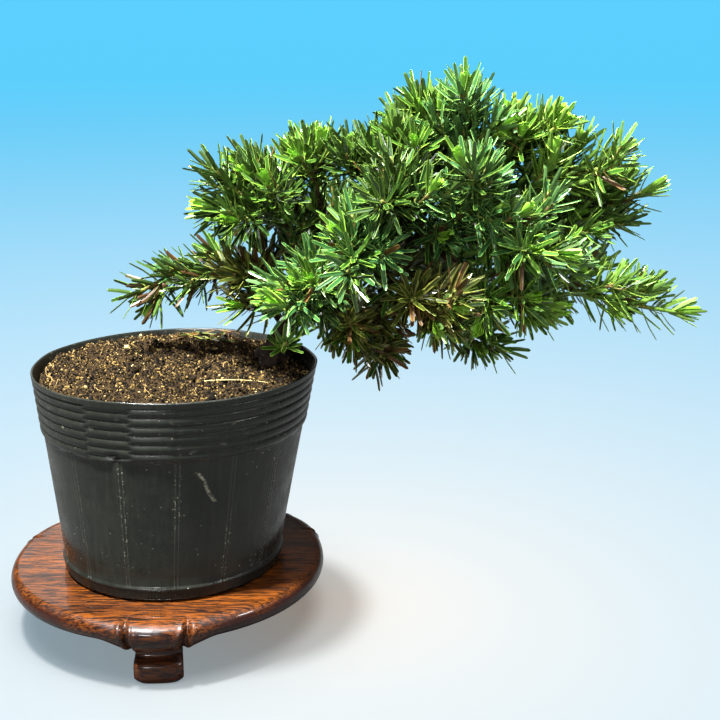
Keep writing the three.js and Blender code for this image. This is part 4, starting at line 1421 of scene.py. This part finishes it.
def clearOfTrunk(points, room):
    shares = np.linspace(0, 1, 60)
    centres = np.array([pointOn(trunk["line"], own) for own in evenShares(trunk["line"], shares)])
    radii = np.array([trunkRadius(share) for share in shares])
    away = np.linalg.norm(points[:, None] - centres[None], axis=2) - radii[None]
    return away.min(axis=1) > room


def dropBlocked(found):                # needles that would run into the pot, the soil or the trunk
    root = np.array([one["root"] for one in found])
    reach = np.array([one["direction"] * one["size"] for one in found])
    free = np.full(len(found), True)
    for share in (0.5, 0.8, 1.0):
        free &= farFromPot(root + reach * share, 0.5) & clearOfTrunk(root + reach * share, 0.3)
    return [one for one, ok in zip(found, free) if ok]


def buildFoliage(finishes):
    twigFinishes = [
        barkFinish("oldTwig", twig["old"], trunk["ridge"], 0.1, 300.0),
        barkFinish("youngTwig", twig["young"], twig["old"], 0.0, 200.0),
    ]
    grown = [(mass, 11 + i) for i, mass in enumerate(masses)]
    grown += [(mass, 61 + i) for i, mass in enumerate(sprigs)]
    total = 0
    for side in ("left", "top", "right", "front", "back"):
        found, shoots, nodes = [], [], []
        for mass, seed in grown:
            if mass["side"] != side:
                continue
            start, heading = startOf(mass)
            own = growMass(mass, start, heading, seed)
            random = np.random.default_rng(seed + 200)
            for shoot in own:
                found += needlesOf(mass, shoot, random)
            shoots += own
            nodes.append("foliage_" + mass["name"])
        found = dropBlocked(found)
        parts = math.ceil(len(found) / mostNeedles)
        for i in range(parts):
            name = f"needles_{side}" + (f"_{i + 1}" if parts > 1 else "")
            first, after = i * len(found) // parts, (i + 1) * len(found) // parts
            buildNeedles(name, found[first:after], finishes, nodes)
        buildTwigs(f"twigs_{side}", shoots, twigFinishes, nodes)
        total += len(found)
        print("needles", side, len(found), "on", len(shoots), "shoots")
    print("needles in all", total)


def buildLimbs():
    bark = barkFinish("scalyBark", trunk["bark"], trunk["ridge"], 0.12, 260.0)
    younger = barkFinish("boughBark", trunk["bark"], trunk["young"], 0.12, 320.0)
    bm = bmesh.new()
    drawLimb(bm, trunk["line"], trunkRadius, trunk, trunk["shownFrom"])
    keep(settle(bm, "trunk_bark", [bark]), "bark", "trunk")
    bm = bmesh.new()
    radiusAt = lambda share: bough["rootRadius"] + (bough["tipRadius"] - bough["rootRadius"]) * share
    for mass in masses:
        drawLimb(bm, boughLine(mass), radiusAt, bough)
    keep(settle(bm, "bough_bark", [younger]), "bark", *["bough_" + mass["name"] for mass in masses])


buildLimbs()
print("trunk and boughs made")
needleMaterials = needleFinishes()
buildFoliage(needleMaterials)
buildLitter()
buildFallen(needleMaterials)
print("foliage made")


# ---- floor ----
def buildFloor():
    bm = bmesh.new()
    far, high, bend = studio["coveRadius"], studio["coveHeight"], studio["coveBend"]
    corners = [(0, 0, far), (far - bend, 0, far)]
    for i in range(1, 12):
        angle = math.pi / 2 * i / 12
        corners.append((far - bend + bend * math.sin(angle), bend - bend * math.cos(angle), far))
    corners += [(far, bend, far), (far, high, far)]
    spinProfile(bm, tracedProfile(bm, corners), 96)
    bmesh.ops.recalc_face_normals(bm, faces=bm.faces)
    bmesh.ops.scale(bm, vec=(0.001, 0.001, 0.001), verts=bm.verts)
    mesh = bpy.data.meshes.new("studioFloor")
    bm.to_mesh(mesh)
    bm.free()
    material, tree, shader, coords = newFinish(
        "paleFloor", Roughness=0.9, Specular_IOR_Level=0.1, Emission_Strength=1.0)
    away = addNode(tree, "ShaderNodeVectorMath", {"Vector": coords.outputs["Object"]}, operation="LENGTH")
    halfWay = calculate(tree, "ADD", away.outputs["Value"], studio["glowHalf"])
    distant = calculate(tree, "DIVIDE", away.outputs["Value"], halfWay)
    seen = addNode(tree, "ShaderNodeLightPath").outputs["Is Camera Ray"]
    shown = mixColours(tree, distant, (*studio["floorColour"], 1), (0, 0, 0, 1))
    feed(tree, shader.inputs["Base Color"], mixColours(tree, seen, (*studio["floorBounce"], 1), shown))
    # A painted glow, seen by the camera alone, lightens the near floor and its shadows, and fades into the blue of
    # the far cove.
    glow = mixColours(tree, distant, (*studio["nearGlow"], 1), (*studio["farGlow"], 1))
    feed(tree, shader.inputs["Emission Color"], mixColours(tree, seen, (0, 0, 0, 1), glow))
    floor = pieceFrom(mesh, "studioFloor", [material])
    return floor


# The pieces and the floor have lamps of their own, and the crown throws no shadow on the floor.
def partLamps(floor, crown):
    def grouped(name, members, state):
        group = bpy.data.collections.new(name)
        for member in members:
            group.objects.link(member)
        for item in group.collection_objects:
            item.light_linking.link_state = state
        return group

    onFloor, offFloor = grouped("onFloor", [floor], "INCLUDE"), grouped("offFloor", [floor], "EXCLUDE")
    noShade = grouped("noShade", crown, "EXCLUDE")
    for lamp in lamps:
        linking = bpy.data.objects[lamp["name"]].light_linking
        linking.receiver_collection = onFloor if lamp["on"] == "floor" else offFloor
        if lamp["on"] == "floor":
            linking.blocker_collection = noShade


crown = [piece for piece in bpy.data.objects
         if piece.name.startswith(("needles_", "twigs_")) or piece.name in ("trunk_bark", "bough_bark")]
partLamps(buildFloor(), crown)
print("floor and its lamps made")
